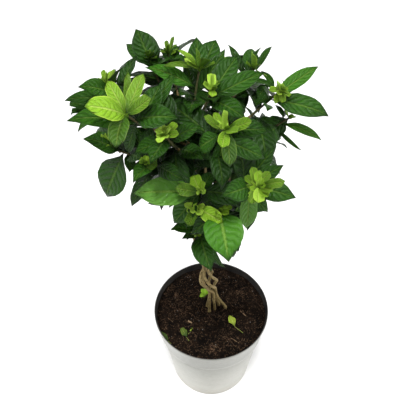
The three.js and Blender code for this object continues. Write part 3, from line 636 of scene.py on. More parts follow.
# a flat grid, folded double into a blade whose halves meet along the edge and at both ends
def bladeGrid(tree, given):
    grid = put(tree, "GeometryNodeMeshGrid", {"Vertices X": given["Along"], "Vertices Y": given["Across"]})
    place = xyz(put(tree, "GeometryNodeInputPosition"))
    t, s = place[0] + 0.5, place[1] * 2
    blade = stored(grid, "alongLeaf", t)
    blade = stored(blade, "acrossLeaf", s)
    blade = stored(blade, "leafUv", joined(t, place[1] + 0.5), "FLOAT2", "CORNER")
    pinch = calc("SQRT", t * (1 - t))
    bulge = (1 - s * s) * pinch
    top = moved(stored(blade, "leafSide", 1.0), Position=joined(t, s * pinch, bulge * 0.1))
    under = put(tree, "GeometryNodeFlipFaces", {0: stored(blade, "leafSide", -1.0)})
    under = moved(under, Position=joined(t, s * pinch, bulge * -0.1))
    join = put(tree, "GeometryNodeJoinGeometry", {0: under})
    feed(join.node, {0: top})
    return put(tree, "GeometryNodeMergeByDistance", {"Geometry": join, "Distance": 0.0002})


def makeLeafTree():
    tree, given = geometryTree("leafTree", {
        "Along": "Int", "Across": "Int", "Keel": "Float", "Tip drop": "Float", "Low end": "Vector",
        "High end": "Vector", "Material": "Material"})
    feeds = {"Points": given["Geometry"], "Instance": bladeGrid(tree, given)}
    many = put(tree, "GeometryNodeInstanceOnPoints", feeds)
    t, s, side = (named(tree, name) for name in ("alongLeaf", "acrossLeaf", "leafSide"))
    root, direction, face, *fields = [
        named(tree, name, "FLOAT_VECTOR")
        for name in ("leafRoot", "leafDir", "leafFace", "leafSize", "leafForm", "leafMore")]
    size, form, more = [xyz(field) for field in fields]
    shares = {"Factor": more[2], "A": outlineCurve(t, oldOutline), "B": outlineCurve(t, youngOutline)}
    share = put(tree, "ShaderNodeMix", shares)
    left = s * share * (size[1] * 0.5)
    absS, out, back = abs(s), abs(left), 1 - t
    # the middle line rises and falls, and its end drops a little
    arch, curl = form[0] * 4 * (t * back), form[1] * 2 * (t * t * back)
    late = calc("MAXIMUM", t - 0.78, 0)
    rise = size[0] * (arch - curl - late * late * given["Tip drop"])
    # the two halves fold up from the rib and their edges wave
    fold = form[2] * out * (1.3 - absS * 0.3)
    wave = more[0] * left * calc("COSINE", (t - 0.14) * (2 * math.pi / 0.62))
    ripple = more[0] * (out * absS) * calc("SINE", t * 14 + (s * 2 + more[1] * 6.28))
    # thickness, rounder at the stalk, with a keel under the rib
    roundness = calc("SQRT", calc("MAXIMUM", 1 - s * s, 0))
    body = side * (size[2] * 0.5) * (roundness * ease(t, 0.02, 0.24, 2.6, 1.0))
    keel = (1 - absS) ** 3 * (given["Keel"] * back) * calc("LESS_THAN", side, -0.5)
    thick = (body - keel) * calc("MINIMUM", share * 6, 1)
    at = vec("ADD", root, scaled(direction, size[0] * t))
    at = vec("ADD", at, scaled(vec("CROSS_PRODUCT", face, direction), left))
    at = vec("ADD", at, scaled(face, rise + fold + wave + ripple + thick))
    at = vec("MINIMUM", vec("MAXIMUM", at, given["Low end"]), given["High end"])
    shaped = smooth(moved(realized(many), Position=at))
    return endTree(smooth(shaped, calc("GREATER_THAN", abs(s), 0.99), False, "EDGE"), given)


leafTree = makeLeafTree()
keptFields = ("leafUv", "leafSide", "leafTone")  # what the leaf materials read


def leafPoints(name, leaves):
    mesh = bpy.data.meshes.new(name + "_points")
    mesh.from_pydata([leaf["root"] * mm for leaf in leaves], [], [])
    fields = {
        "leafRoot": lambda leaf: leaf["root"] * mm,
        "leafDir": lambda leaf: leaf["direction"],
        "leafFace": lambda leaf: leaf["face"],
        "leafSize": lambda leaf: (leaf["long"] * mm, leaf["wide"] * mm, leaf.get("thick", 0.55) * mm),
        "leafForm": lambda leaf: (leaf["arch"], leaf["curl"], 1.4 * leaf["fold"]),
        "leafMore": lambda leaf: (leaf["wave"], leaf["own"], leaf["blunt"]),
        "leafTone": lambda leaf: (leaf["tone"], leaf["own"], 0.0),
    }
    for field, read in fields.items():
        values = mesh.attributes.new(field, "FLOAT_VECTOR", "POINT").data
        for i, leaf in enumerate(leaves):
            values[i].vector = read(leaf)
    return mesh


# shader groups
def makeVeinGroup():
    group, given = newTree(
        "ShaderNodeTree", "leafVeins",
        {"Place": "Vector", "Own": "Float", "Pairs": "Float", "Sweep": "Float"},
        dict.fromkeys(("Vein", "Rib", "Quilt", "Net", "Edge"), "Float"))
    place = xyz(given["Place"])
    t, s = place[0], (place[1] - 0.5) * 2
    absS = abs(s)
    noiseAt = joined(t, s, given["Own"])
    # side veins leave the rib forwards and bend on towards the tip
    start = t - given["Sweep"] * (absS * 0.8 + 0.7) * absS
    shift = calc("GREATER_THAN", s, 0) * 0.35 + noisy(noiseAt, 3.0, 1.0) * 0.9
    ridge = abs(calc("FRACT", start * given["Pairs"] + shift) - 0.5) * 2
    margin = ease(absS, 0.75, 0.98, 1.0, 0.0)
    netAt = vec("MULTIPLY", noiseAt, (34.0, 13.0, 1.0))
    cells = put(group, "ShaderNodeTexVoronoi", {"Vector": netAt, "Scale": 1.0}, feature="DISTANCE_TO_EDGE")
    put(group, "NodeGroupOutput", {
        "Vein": ease(ridge, 0.78, 1.0) * margin, "Rib": ease(absS, 0.03, 0.13, 1.0, 0.0),
        "Quilt": (1 - ridge * ridge) * margin, "Net": ease(cells, 0.0, 0.14, 1.0, 0.0),
        "Edge": ease(absS, 0.86, 1.0)})
    return group


def makeMottleGroup():
    group, given = newTree(
        "ShaderNodeTree", "mottle", {"Place": "Vector", "Size": "Float", "Contrast": "Float"},
        {"Broad": "Float", "Fine": "Float"})
    spots = {
        "Broad": noisy(given["Place"], given["Size"], 2.0),
        "Fine": noisy(given["Place"], given["Size"] * 9, 3.0)}
    for label, value in spots.items():
        spots[label] = put(group, "ShaderNodeClamp", {0: (value - 0.5) * given["Contrast"] * 2 + 0.5})
    put(group, "NodeGroupOutput", spots)
    return group


veinGroup = makeVeinGroup()
mottleGroup = makeMottleGroup()


def mottled(where, size, contrast):
    feeds = {"Place": where, "Size": size, "Contrast": contrast}
    return put(where.tree, "ShaderNodeGroup", feeds, node_tree=mottleGroup)


def blend(factor, a, b):
    return put(factor.tree, "ShaderNodeMix", {0: factor, 6: a, 7: b}, data_type="RGBA")[2]


def bumped(height, strength, distance):
    return put(height.tree, "ShaderNodeBump", {"Height": height, "Strength": strength, "Distance": distance})


def objectPlace(tree):
    return put(tree, "ShaderNodeTexCoord")["Object"]


def leafMaterial(name, look):
    material, tree, shader = newMaterial(name)
    uv = put(tree, "ShaderNodeUVMap", uv_map="leafUv")
    tone = xyz(put(tree, "ShaderNodeAttribute", attribute_name="leafTone")["Vector"])
    side = put(tree, "ShaderNodeAttribute", attribute_name="leafSide")["Fac"]
    feeds = {"Place": uv, "Own": tone[1], "Pairs": look["pairs"], "Sweep": look["sweep"]}
    veins = put(tree, "ShaderNodeGroup", feeds, node_tree=veinGroup)
    mottle = mottled(objectPlace(tree), 45.0, 1.2)
    amount = tone[0] * look["toneSpread"] + mottle["Broad"] * (1 - look["toneSpread"])
    amount = calc("MAXIMUM", amount - ease(xyz(uv), 0.0, 0.55, look["stalkShade"], 0.0), 0) ** look["curve"]
    colour = blend(amount, look["deep"], look["fresh"])
    # painted light: tones above one blend towards a paler green, for leaves that lie in shade
    colour = blend(ease(amount, 0.95, 1.8), colour, look["bright"])  # tones above one are paler
    lively = calc("MINIMUM", amount * 0.8 + 0.2, 1)
    # painted highlight: the crest of each bulge between the side veins is tinted towards a paler green, as if
    # it caught the light
    tints = {"Quilt": "quilt", "Net": "vein", "Vein": "vein", "Edge": "vein", "Rib": "rib"}
    for part, tint in tints.items():
        colour = blend(veins[part] * look[part.lower() + "Tint"] * lively, colour, look[tint])
    under = ease(side, -1.0, -0.2, 0.75, 0.0)
    height = veins["Quilt"] * 0.8 + mottle["Fine"] * 0.12 - veins["Rib"] * 0.9 - veins["Net"] * 0.12
    feed(shader, {
        "Base Color": blend(under, colour, look["under"]),
        "Roughness": under * 0.3 + (mottle["Fine"] * look["roughSpread"] + look["rough"]),
        "Normal": bumped(height, look["relief"], 0.0013), "Specular IOR Level": look["specular"]})
    return material


# leaf looks: the colour that tones above one reach is painted light for leaves that lie in shade, and the
# bulge colour is a painted highlight between the side veins
oldLook = {
    "deep": (0.0018, 0.011, 0.0006), "fresh": (0.034, 0.140, 0.007), "bright": (0.110, 0.260, 0.036),
    "quilt": (0.058, 0.185, 0.011), "vein": (0.060, 0.170, 0.014), "rib": (0.160, 0.290, 0.040),
    "under": (0.045, 0.105, 0.012), "toneSpread": 0.78, "curve": 1.2, "stalkShade": 0.26,
    "quiltTint": 0.5, "netTint": 0.06, "veinTint": 0.25, "edgeTint": 0.4, "ribTint": 0.7,
    "pairs": 8.0, "sweep": 0.17, "rough": 0.24, "roughSpread": 0.2, "relief": 1.0, "specular": 0.2,
}
youngLook = {
    "deep": (0.014, 0.070, 0.003), "fresh": (0.215, 0.455, 0.017), "bright": (0.520, 0.840, 0.090),
    "quilt": (0.340, 0.610, 0.020), "vein": (0.540, 0.740, 0.080), "rib": (0.600, 0.760, 0.160),
    "under": (0.180, 0.380, 0.030), "toneSpread": 0.88, "curve": 1.35, "stalkShade": 0.42,
    "quiltTint": 0.35, "netTint": 0.2, "veinTint": 0.35, "edgeTint": 0.8, "ribTint": 0.6,
    "pairs": 8.0, "sweep": 0.17, "rough": 0.3, "roughSpread": 0.2, "relief": 0.9, "specular": 0.32,
}
fallenLook = dict(
    youngLook, deep=(0.010, 0.040, 0.004), fresh=(0.300, 0.380, 0.030), quilt=(0.230, 0.300, 0.030),
    under=(0.180, 0.220, 0.040), rough=0.5)
leafOld = leafMaterial("gardeniaLeafOld", oldLook)
leafYoung = leafMaterial("gardeniaLeafYoung", youngLook)
leafFallen = leafMaterial("gardeniaLeafFallen", fallenLook)
# the material by slot
leafDress = {"leaf": leafOld, "young_leaf": leafYoung, "fallen_leaf": leafFallen, "sprout": leafYoung}


def growLeaves(name, leaves, slot, *nodes, keel=0.35, tipDrop=1.3):
    values = dict(leafGrid, Keel=keel * mm, Material=leafDress[slot])
    values["Tip drop"] = tipDrop
    piece = grown(name, leafPoints(name, leaves), leafTree, values)
    attributes = piece.data.attributes
    for field in [item.name for item in attributes if item.name.startswith(("leaf", "along", "across"))]:
        if field not in keptFields:
            attributes.remove(attributes[field])
    finished(piece, slot, *nodes)


# how bright each leaf of the photograph is, in the order of its shoot's lists; each tone holds the leaf's own
# green together with painted light and shade
oldTones = {
    "back_left": [0.4, 0.3, 0.2], "back_spiky": [0.35, 0.3], "top": [0.3, 0.45, 1.2, 0.35, 0.45, 0.2, 0.25],
    "top_front": [0.35, 0.5, 0.25, 0.1], "back_right": [0.45, 0.2, 0.3, 0.25], "right": [1.2, 0.4, 0.3, 0.3],
    "right_low": [1.3, 0.35, 0.8, 0.3], "front_top": [0.7, 0.5, 0.5, 0.55],
    "left_top": [0.35, 0.3, 0.7, 0.3, 0.4],
    "far_left": [0.6, 0.1, 0.35, 0.4], "left_low": [0.45, 0.35, 0.25], "middle_left": [0.2, 0.35, 0.4],
    "middle_low": [0.6, 0.05, 0.25], "front_right": [0.4, 1.9, 0.5, 0.4, 0.3, 0.5],
    "front_middle": [1.7, 0.5, 0.3],
    "front_low_left": [0.4], "front_low": [1.3, 0.6], "lowest": [1.8, 0.5, 0.4],
}
youngTones = {
    "back_left": [0.25, 0.3, 0.25, 0.3], "back_spiky": [0.35, 0.4, 0.35, 0.3],
    "top": [0.9, 0.6, 0.25, 0.45, 0.7, 0.15], "top_front": [1.4, 1.2, 1.2, 1.1],
    "back_right": [1.2, 0.6, 0.6],
    "right": [2.2, 2.2, 1.0, 1.5, 0.8, 0.7], "right_low": [1.2, 0.9],
    "front_top": [0.55, 0.8, 1.3, 0.5, 0.6, 0.7, 0.0], "left_top": [0.95, 0.75, 0.3, 0.55, 0.45, 0.05],
    "far_left": [0.7, 0.7, 0.95, 0.7], "left_low": [1.2, 1.0, 1.3, 1.0],
    "middle_left": [1.7, 1.7, 1.4, 0.9, 0.6, 1.8], "middle_low": [1.2, 1.4, 1.3, 0.2],
    "front_right": [0.5, 0.6, 0.6, 0.6, 2.2, 0.7, 0.5, 0.45], "front_middle": [0.85, 0.2, 0.8, 0.8],
    "front_low_left": [2.0, 2.0, 1.6, 1.0, 0.3], "front_low": [1.0, 0.9, 0.9, 0.8], "lowest": [1.1, 1.0],
}


def leafTone(leaf, tones):
    if leaf["number"] < len(tones):
        return tones[leaf["number"]]
    # old leaves without a listed tone get low tones, lowest on shoots with listed ones: painted shade inside
    # the crown
    return 0.35 + 0.65 * leaf["own"] if leaf["isYoung"] else (0.2 if tones else 0.45) * leaf["own"]


def makeLeaves():
    for home, leaves in leafHomes.items():
        kind, shootName = home.split("_", 1)
        isYoung = kind == "young"
        tones = (youngTones if isYoung else oldTones).get(shootName, [])
        for leaf in leaves:
            leaf["tone"] = leafTone(leaf, tones)
        slot, tipDrop = ("young_leaf", 0.4) if isYoung else ("leaf", 1.3)
        growLeaves("leaves_" + home, leaves, slot, home, tipDrop=tipDrop)


makeLeaves()
print("leaves grown")


# the tree that gives lines of points their wood: a tapered tube, ridged along and ringed across
def makeWoodTree():
    tree, given = geometryTree("woodTree", {
        "Sides": "Int", "Ridges": "Float", "Ridge size": "Float", "Rings": "Float", "Ring step": "Float",
        "Material": "Material"})
    radius = named(tree, "woodRadius")
    line = put(tree, "GeometryNodeMeshToCurve", {"Mesh": given["Geometry"]})
    line = put(tree, "GeometryNodeSetCurveRadius", {"Curve": line, "Radius": radius})
    ring = put(tree, "GeometryNodeCurvePrimitiveCircle", {"Resolution": given["Sides"], "Radius": 1.0})
    feeds = {"Curve": line, "Profile Curve": ring, "Scale": radius, "Fill Caps": True}
    sweep = put(tree, "GeometryNodeCurveToMesh", feeds)
    stretched = vec("MULTIPLY", put(tree, "GeometryNodeInputPosition"), (1.0, 1.0, 0.16))
    ridges = (noisy(stretched, 1 / given["Ridge size"], 2.0) - 0.5) * given["Ridges"]
    step = abs(calc("FRACT", named(tree, "woodAlong") / given["Ring step"]) - 0.5)
    rings = ease(step, 0.36, 0.5) * given["Rings"]
    off = scaled(put(tree, "GeometryNodeInputNormal"), ridges + rings)
    return endTree(smooth(moved(sweep, Offset=off)), given)


woodTree = makeWoodTree()


# lines: lists of (point, radius) in mm, joined into one mesh of edges
def lineMesh(name, lines):
    mesh = bpy.data.meshes.new(name + "_lines")
    points, edges, radii, along = [], [], [], []
    for line in lines:
        length = 0.0
        for k, (point, radius) in enumerate(line):
            if k:
                length += (point - line[k - 1][0]).length
                edges.append((len(points) - 1, len(points)))
            points.append(point * mm)
            radii.append(radius * mm)
            along.append(length * mm)
    mesh.from_pydata(points, edges, [])
    for field, values in (("woodRadius", radii), ("woodAlong", along)):
        mesh.attributes.new(field, "FLOAT", "POINT").data.foreach_set("value", values)
    return mesh


# form: the tube's sides, then sizes in mm
def growWood(name, lines, form, material, slot, *nodes):
    values = {key: size if key == "Sides" else size * mm for key, size in form.items()}
    finished(grown(name, lineMesh(name, lines), woodTree, dict(values, Material=material)), slot, *nodes)


def barkMaterial(name, look):
    material, tree, shader = newMaterial(name)
    where = objectPlace(tree)
    stretched = put(tree, "ShaderNodeMapping", {0: where, 3: (1.0, 1.0, 0.14)})
    strands = noisy(stretched, look["strand"], 4.0)
    mottle = mottled(where, 60.0, 1.3)
    cracks = ease(strands, 0.36, 0.5, 1.0, 0.0)
    colour = blend(mottle["Broad"], look["pale"], look["warm"])
    colour = blend(ease(mottle["Fine"], 0.62, 0.9, 0.0, 0.6), colour, look["green"])
    feed(shader, {
        "Base Color": blend(cracks * look["crack"], colour, look["dark"]), "Roughness": cracks * 0.2 + 0.6,
        "Normal": bumped(strands - cracks * 0.5, 0.9, 0.0012), "Specular IOR Level": 0.3})
    return material


# a smooth line through points, with its own pace between each two; it is asked by a share of its length
def smoothLine(points, parts=200):
    def at(t):
        p = (len(points) - 1) * t
        k = min(int(p), len(points) - 2)
        w = p - k
        p1, p2 = points[k], points[k + 1]
        p0 = points[k - 1] if k else p1 * 2 - p2
        p3 = points[k + 2] if k + 2 < len(points) else p2 * 2 - p1
        d0, d1, d2 = (max((b - a).length, 1e-4) ** 0.5 for a, b in ((p0, p1), (p1, p2), (p2, p3)))
        t1 = ((p1 - p0) / d0 - (p2 - p0) / (d0 + d1) + (p2 - p1) / d1) * d1
        t2 = ((p2 - p1) / d1 - (p3 - p1) / (d1 + d2) + (p3 - p2) / d2) * d1
        bend = (p2 * 3 - p1 * 3 - t1 * 2 - t2) * w * w
        return p1 + t1 * w + bend + (p1 * 2 - p2 * 2 + t1 + t2) * w * w * w

    fine = [at(i / parts) for i in range(parts + 1)]
    lengths = [0.0]
    for a, b in zip(fine, fine[1:]):
        lengths.append(lengths[-1] + (b - a).length)

    def spaced(u):
        aim = u * lengths[-1]
        k = next((i for i, length in enumerate(lengths) if length >= aim), parts)
        if k == 0:
            return at(0)
        part = (aim - lengths[k - 1]) / (lengths[k] - lengths[k - 1])
        return at((k - 1 + part) / parts)
    return spaced


# the stems' own numbers, in mm and degrees: x, y and place in the braid of each foot, then the rest
legs = [(-5.6, 6.4, 144), (-2.6, -2.2, 216), (5.4, 0.4, 288), (11.6, 8.2, 72), (21.4, 3.6, 0)]
stem = {
    "radius": 2.2, "endRadius": 1.35, "branchRadius": 1.25, "foot": 123.0, "gap": 0.3, "points": 120,
    "flare": 0.55, "flareAt": 149, "flareSpan": 9, "leafyFrom": 340, "branchLow": 14, "branchRise": 12,
    "branchSlope": 0.9, "branchReach": 0.4, "branchPoints": 24,
}
braid = {
    "low": 204, "high": 256, "waist": 4.55, "bulge": 11.6, "turn": -150, "step": 13, "flat": 0.9,
    "back": -3, "lowX": 1.5, "highX": -6, "leanEnd": 0.625,
}
stemPath = {
    "splay": 170, "splayShare": 0.42, "gather": 189, "gatherShare": 0.84, "part": 285, "partOut": 5,
    "open": 330, "openOut": 14, "lead": 22,
}
stemWood = {"Sides": 12, "Ridges": 1.1, "Ridge size": 2.2, "Rings": 0.16, "Ring step": 17}
stemBark = {
    "pale": (0.39, 0.290, 0.125), "warm": (0.24, 0.168, 0.060), "green": (0.21, 0.205, 0.060),
    "dark": (0.045, 0.032, 0.012), "crack": 0.9, "strand": 1300.0}
twig = {"radius": 1.35, "tipRadius": 1.0, "points": 12, "end": 2.2, "endRadius": 0.45}
twigWood = {"Sides": 8, "Ridges": 0.35, "Ridge size": 2, "Rings": 0.3, "Ring step": 6.5}
twigBark = {
    "pale": (0.105, 0.115, 0.035), "warm": (0.085, 0.060, 0.028), "green": (0.075, 0.15, 0.025),
    "dark": (0.030, 0.022, 0.010), "crack": 0.5, "strand": 1400.0}


def braidUp(z):
    return (z - braid["low"]) / (braid["high"] - braid["low"])


def braidMiddle(z):
    leant = min(1, braidUp(z) / braid["leanEnd"])
    return Vector((braid["lowX"] + (braid["highX"] - braid["lowX"]) * leant, braid["back"], z))


def braidPoint(slot, z):
    out = braid["waist"] + (braid["bulge"] - braid["waist"]) * math.sin(math.pi * braidUp(z)) ** 2
    turn = math.radians(slot + braid["turn"] * braidUp(z))
    return braidMiddle(z) + Vector((out * math.cos(turn), braid["flat"] * out * math.sin(turn), 0))


def wedgeDirection(slot):
    turn = math.radians(slot + braid["turn"])
    return Vector((math.cos(turn), math.sin(turn), 0))


def raised(point, z):
    return Vector((point.x, point.y, z))


def woodEnd(shoot, back=0):
    return shoot["base"] - shoot["axis"] * stem["gap"] - shoot["axis"] * back


def stemRoute(leg, leader):
    x, y, slot = leg
    foot, first = Vector((x, y, 0)), braidPoint(slot, braid["low"])
    points = [raised(foot, z) for z in (stem["foot"], soil["level"] - 5, soil["level"] + 2.5)]
    for stage in ("splay", "gather"):
        points.append(raised(foot.lerp(first, stemPath[stage + "Share"]), stemPath[stage]))
    points += [braidPoint(slot, z) for z in range(braid["low"], braid["high"] + 1, braid["step"])]
    top, out = points[-1], wedgeDirection(slot)
    for stage in ("part", "open"):
        points.append(raised(top + out * stemPath[stage + "Out"], stemPath[stage]))
    before = woodEnd(leader, stemPath["lead"])
    return smoothLine(points + [(top + out * stemPath["openOut"]).lerp(before, 0.5), before, woodEnd(leader)])


# a branch leaves its stem where the slope up to its shoot suits it best
def branchRoute(route, shoot):
    end, best = woodEnd(shoot), None
    for i in range(58):
        t = 0.4 + 0.01 * i
        start = route(t)
        flat = math.hypot(end.x - start.x, end.y - start.y)
        miss = abs(end.z - start.z - stem["branchRise"] - stem["branchSlope"] * flat)
        if start.z > braid["high"] + stem["branchLow"] and (best is None or miss < best[0]):
            best = (miss, t, start)
    _, t, start = best
    reach = (end - start).length * stem["branchReach"]
    tangent = (route(min(1, t + 0.002)) - route(t - 0.002)).normalized()
    leave, arrive = start + tangent * reach, end - shoot["axis"] * reach
    line = []
    for i in range(stem["branchPoints"] + 1):
        w = i / stem["branchPoints"]
        v = 1 - w
        line.append(start * v ** 3 + leave * 3 * v * v * w + arrive * 3 * v * w * w + end * w ** 3)
    return line


def makeStems():
    bark = barkMaterial("stemBark", stemBark)
    owners = [[] for _ in legs]
    for shoot in shoots:
        out = raised(shoot["base"] - braidMiddle(braid["high"]), 0).normalized()
        facing = [wedgeDirection(leg[2]).dot(out) for leg in legs]
        owners[facing.index(max(facing))].append(shoot)
    leafy = []
    for number, (leg, own) in enumerate(zip(legs, owners), 1):
        leader = max(reversed(own), key=lambda shoot: shoot["base"].z)
        route = stemRoute(leg, leader)
        line = []
        for i in range(stem["points"] + 1):
            point = route(i / stem["points"])
            flare = stem["flare"] * max(0.0, 1 - abs(point.z - stem["flareAt"]) / stem["flareSpan"])
            taper = (stem["endRadius"] - stem["radius"]) * i / stem["points"]
            line.append((point, stem["radius"] + taper + flare))
        lines = [line]
        leafy.append([point for point, _ in line if point.z > stem["leafyFrom"]])
        for shoot in own:
            if shoot is not leader:
                path = branchRoute(route, shoot)
                step = (stem["endRadius"] - stem["branchRadius"]) / stem["branchPoints"]
                lines.append([(point, stem["endRadius"] - step * i) for i, point in enumerate(path)])
                leafy.append(path[4:])
        growWood("stem_wood_%d" % number, lines, stemWood, bark, "bark", "stem_%d" % number)
    return leafy


def makeTwigs():
    lines = []
    for shoot in shoots:
        line = []
        for i in range(twig["points"] + 1):
            w = i / twig["points"]
            radius = twig["radius"] + (twig["tipRadius"] - twig["radius"]) * w
            line.append((shoot["base"].lerp(shoot["tip"], w), radius))
        line.append((shoot["tip"] + shoot["axis"] * twig["end"], twig["endRadius"]))
        lines.append(line)
    growWood("twigs", lines, twigWood, barkMaterial("twigBark", twigBark), "bark")


branchLines = makeStems()
makeTwigs()
print("stems and twigs grown")


# leaves that the model leaves out: dark ones inside the crown, darkened by painted shade, and small bright
# ones at the tips, some lifted by painted light
inner = {
    "seed": 7, "first": 4, "step": 13.0, "long": (36, 50), "spread": (50, 80), "tries": 7, "clear": 5.2,
    "inside": 0.93, "widerUnder": 300, "low": 285, "high": 525,
}
# the first value doubles the tones of the small young leaves, as painted light
bud = {"toneBy": 2.0, "seen": (3, (5, 8), (6, 26)), "bare": (7, (7, 15), (12, 46))}  # count, length, lean
goldenTurn = 137.5

# small young leaves of the photograph: pixel of the tip, length, width, tone
smallLeaves = {
    "front_right": [
        (260, 168, 15, 6, 0.5), (251, 180, 8, 5, 0.6), (268, 197, 16, 8, 0.5), (256, 181, 8, 5, 0.7),
        (256, 166, 14, 7, 0.55),
        (241, 188, 14, 6, 0.3), (263, 178, 9, 5, 0.6), (250, 190, 9, 5, 0.5), (266, 185, 10, 5, 0.5)],
    "front_low_left": [
        (198, 207, 14, 8, 0.9), (193, 205, 12, 7, 1.0), (184, 204, 14, 6, 0.95), (190, 212, 12, 6, 0.95),
        (205, 205, 10, 5, 0.8), (197, 213, 9, 6, 0.9), (186, 211, 11, 5, 1.0),
        (184, 235, 17, 7, 0.7)],
    "front_low": [
        (229, 214, 12, 7, 0.5), (226, 203, 10, 4, 0.8), (222, 208, 8, 4, 0.7), (234, 206, 13, 5, 0.5)],
    "lowest": [(196, 237, 8, 4, 1.0), (191, 234, 8, 4, 1.0), (201, 236, 8, 4, 0.9)],
    "front_middle": [(197, 186, 10, 4, 0.9), (203, 190, 8, 4, 0.9), (196, 193, 7, 4, 0.8)],
    "middle_low": [
        (139, 160, 10, 4, 0.8), (146, 165, 9, 4, 1.0), (151, 162, 8, 4, 0.95), (144, 159, 8, 3, 0.8)],
    "middle_left": [
        (156, 136, 11, 5, 0.9), (162, 141, 11, 5, 0.95), (168, 138, 9, 5, 1.0), (171, 128, 13, 5, 0.9),
        (160, 133, 9, 4, 1.0),
        (172, 133, 9, 4, 0.8), (165, 131, 8, 4, 1.0)],
    "left_low": [
        (101, 134, 19, 4, 0.7), (105, 133, 18, 4, 0.8), (110, 131, 18, 5, 0.6), (106, 146, 9, 4, 0.7),
        (114, 134, 16, 4, 0.5)],
    "far_left": [
        (98, 81, 14, 7, 0.7), (102, 75, 15, 6, 0.7), (107, 71, 17, 6, 0.95), (113, 70, 18, 3, 0.7),
        (104, 84, 8, 5, 0.8)],
    "top_front": [
        (211, 74, 17, 7, 0.9), (204, 84, 10, 4, 0.7), (218, 81, 12, 4, 0.8), (216, 88, 7, 4, 0.8),
        (207, 87, 7, 4, 0.8)],
    "right": [
        (281, 90, 8, 8, 1.0), (277, 85, 11, 8, 0.9), (285, 92, 9, 7, 0.9), (276, 87, 9, 6, 1.0),
        (283, 85, 9, 5, 1.0), (287, 93, 11, 6, 0.95), (278, 95, 9, 6, 1.0), (282, 91, 7, 5, 1.0),
        (273, 107, 15, 6, 0.6), (285, 98, 9, 3, 0.6), (274, 90, 7, 5, 0.9)],
    "front_top": [
        (224, 110, 22, 7, 0.85), (219, 124, 8, 4, 1.0), (222, 128, 7, 4, 1.0), (228, 125, 8, 4, 0.9),
        (214, 121, 12, 5, 0.7)],
    "back_left": [(150, 51, 11, 4, 0.4), (145, 54, 10, 4, 0.3), (155, 55, 9, 4, 0.4)],
    "back_spiky": [
        (163, 47, 14, 4, 0.35), (168, 44, 16, 4, 0.4), (174, 40, 17, 4, 0.35), (179, 49, 13, 4, 0.3),
        (160, 52, 12, 4, 0.3),
        (176, 52, 10, 4, 0.35)],
    "back_right": [(248, 64, 8, 4, 0.5), (256, 66, 7, 4, 0.5), (267, 76, 22, 3, 0.6)],
    "top": [(191, 56, 17, 5, 0.75), (196, 57, 15, 4, 0.7), (184, 58, 18, 6, 0.9), (204, 67, 8, 4, 0.5)],
    "right_low": [(292, 119, 10, 4, 0.8), (288, 117, 7, 3, 0.8)],
}


# more dark leaves of the photograph, their tones holding painted shade as well as the leaves' own dark green:
# pixels of root and tip, the root's height, the tip's rise, width, tone
lateLeaves = [
    (170, 66, 160, 47, 505, 13, 10, 0.3), (170, 66, 178, 45, 505, 14, 10, 0.35),
    (172, 66, 188, 56, 503, 7, 10, 0.3),
    (170, 68, 149, 60, 500, 6, 11, 0.3), (168, 66, 165, 49, 498, 12, 9, 0.25),
    (180, 80, 150, 72, 486, 5, 13, 0.3),
    (178, 88, 152, 82, 480, 4, 13, 0.2), (120, 99, 82, 93, 484, 4, 11, 0.45),
    (110, 107, 63, 104, 482, 2, 11, 0.35),
    (102, 110, 54, 115, 474, -3, 7, 0.4), (152, 142, 133, 127, 474, 8, 13, 0.2),
    (128, 112, 112, 96, 488, 10, 12, 0.25),
    (255, 73, 272, 45, 512, 20, 8, 0.35), (260, 70, 275, 87, 508, -10, 8, 0.4),
    (255, 88, 259, 113, 488, -16, 10, 0.25),
    (241, 86, 236, 114, 492, -19, 9, 0.45), (246, 84, 243, 112, 486, -18, 8, 0.3),
    (273, 90, 262, 80, 496, 7, 7, 0.3),
    (290, 118, 258, 137, 472, -12, 21, 0.3), (286, 119, 270, 141, 468, -14, 14, 0.3),
    (277, 118, 250, 129, 470, -7, 13, 0.2), (284, 119, 275, 104, 484, 9, 8, 0.3),
    (280, 99, 297, 88, 499, 9, 1.6, 0.4),
    (256, 102, 263, 90, 486, 8, 8, 0.15), (228, 196, 250, 212, 430, -10, 12, 0.25),
    (128, 152, 130, 172, 466, -13, 12, 0.35),
    (188, 60, 206, 47, 512, 9, 12, 0.45), (146, 182, 131, 206, 440, -16, 12, 0.1),
    (174, 84, 126, 74, 482, 6, 13, 0.1), (168, 92, 140, 82, 478, 4, 12, 0.1),
    (130, 100, 118, 76, 480, 2, 10, 0.1),
    (258, 107, 250, 88, 482, 8, 11, 0.1), (264, 103, 262, 84, 488, 8, 10, 0.1),
    (198, 230, 171, 228, 382, 2, 11, 0.9), (275, 96, 254, 106, 503, -6, 13, 0.2),
    (268, 84, 257, 98, 508, -8, 12, 0.25),
]


# a leaf that only this script has
def looseLeaf(root, direction, face, **form):
    plain = {"arch": 0.05, "curl": 0.0, "fold": 0.2, "wave": 0.0, "blunt": 0.0, "thick": 0.55}
    return dict(plain, root=root, direction=direction, face=face, **form)


def leafSamples(leaf):
    side = leaf["direction"].cross(leaf["face"])
    found = []
    for t, w in ((0.35, 0.8), (0.65, 0.8), (0.97, 0)):
        middle = leaf["root"] + leaf["direction"] * leaf["long"] * t
        found.append(middle)
        if w:
            found += [middle + side * leaf["wide"] / 2 * w, middle - side * leaf["wide"] / 2 * w]
    return found


def inCrown(p):
    reach = inner["inside"] * crownRadius(max(p.z, inner["widerUnder"]))
    return raised(p - crownMiddle(p.z), 0).length <= reach and inner["low"] <= p.z <= inner["high"]


def innerLeaf(root, axis, turn, draw):
    spread = math.radians(draw.uniform(*inner["spread"]))
    out = turned(axis.orthogonal().normalized(), axis, turn)
    direction = (axis * math.cos(spread) + out * math.sin(spread)).normalized()
    long, own = draw.uniform(*inner["long"]), draw.random()
    face = turned(faceOf(direction, axis), direction, draw.uniform(-25, 25))
    # painted shade: a leaf inside the crown gets a dark tone
    return looseLeaf(
        root.copy(), direction, face, long=long, wide=long * draw.uniform(0.4, 0.5), arch=0.1, curl=0.1 * own,
        fold=0.16, wave=0.06, own=own, tone=own * 0.2)


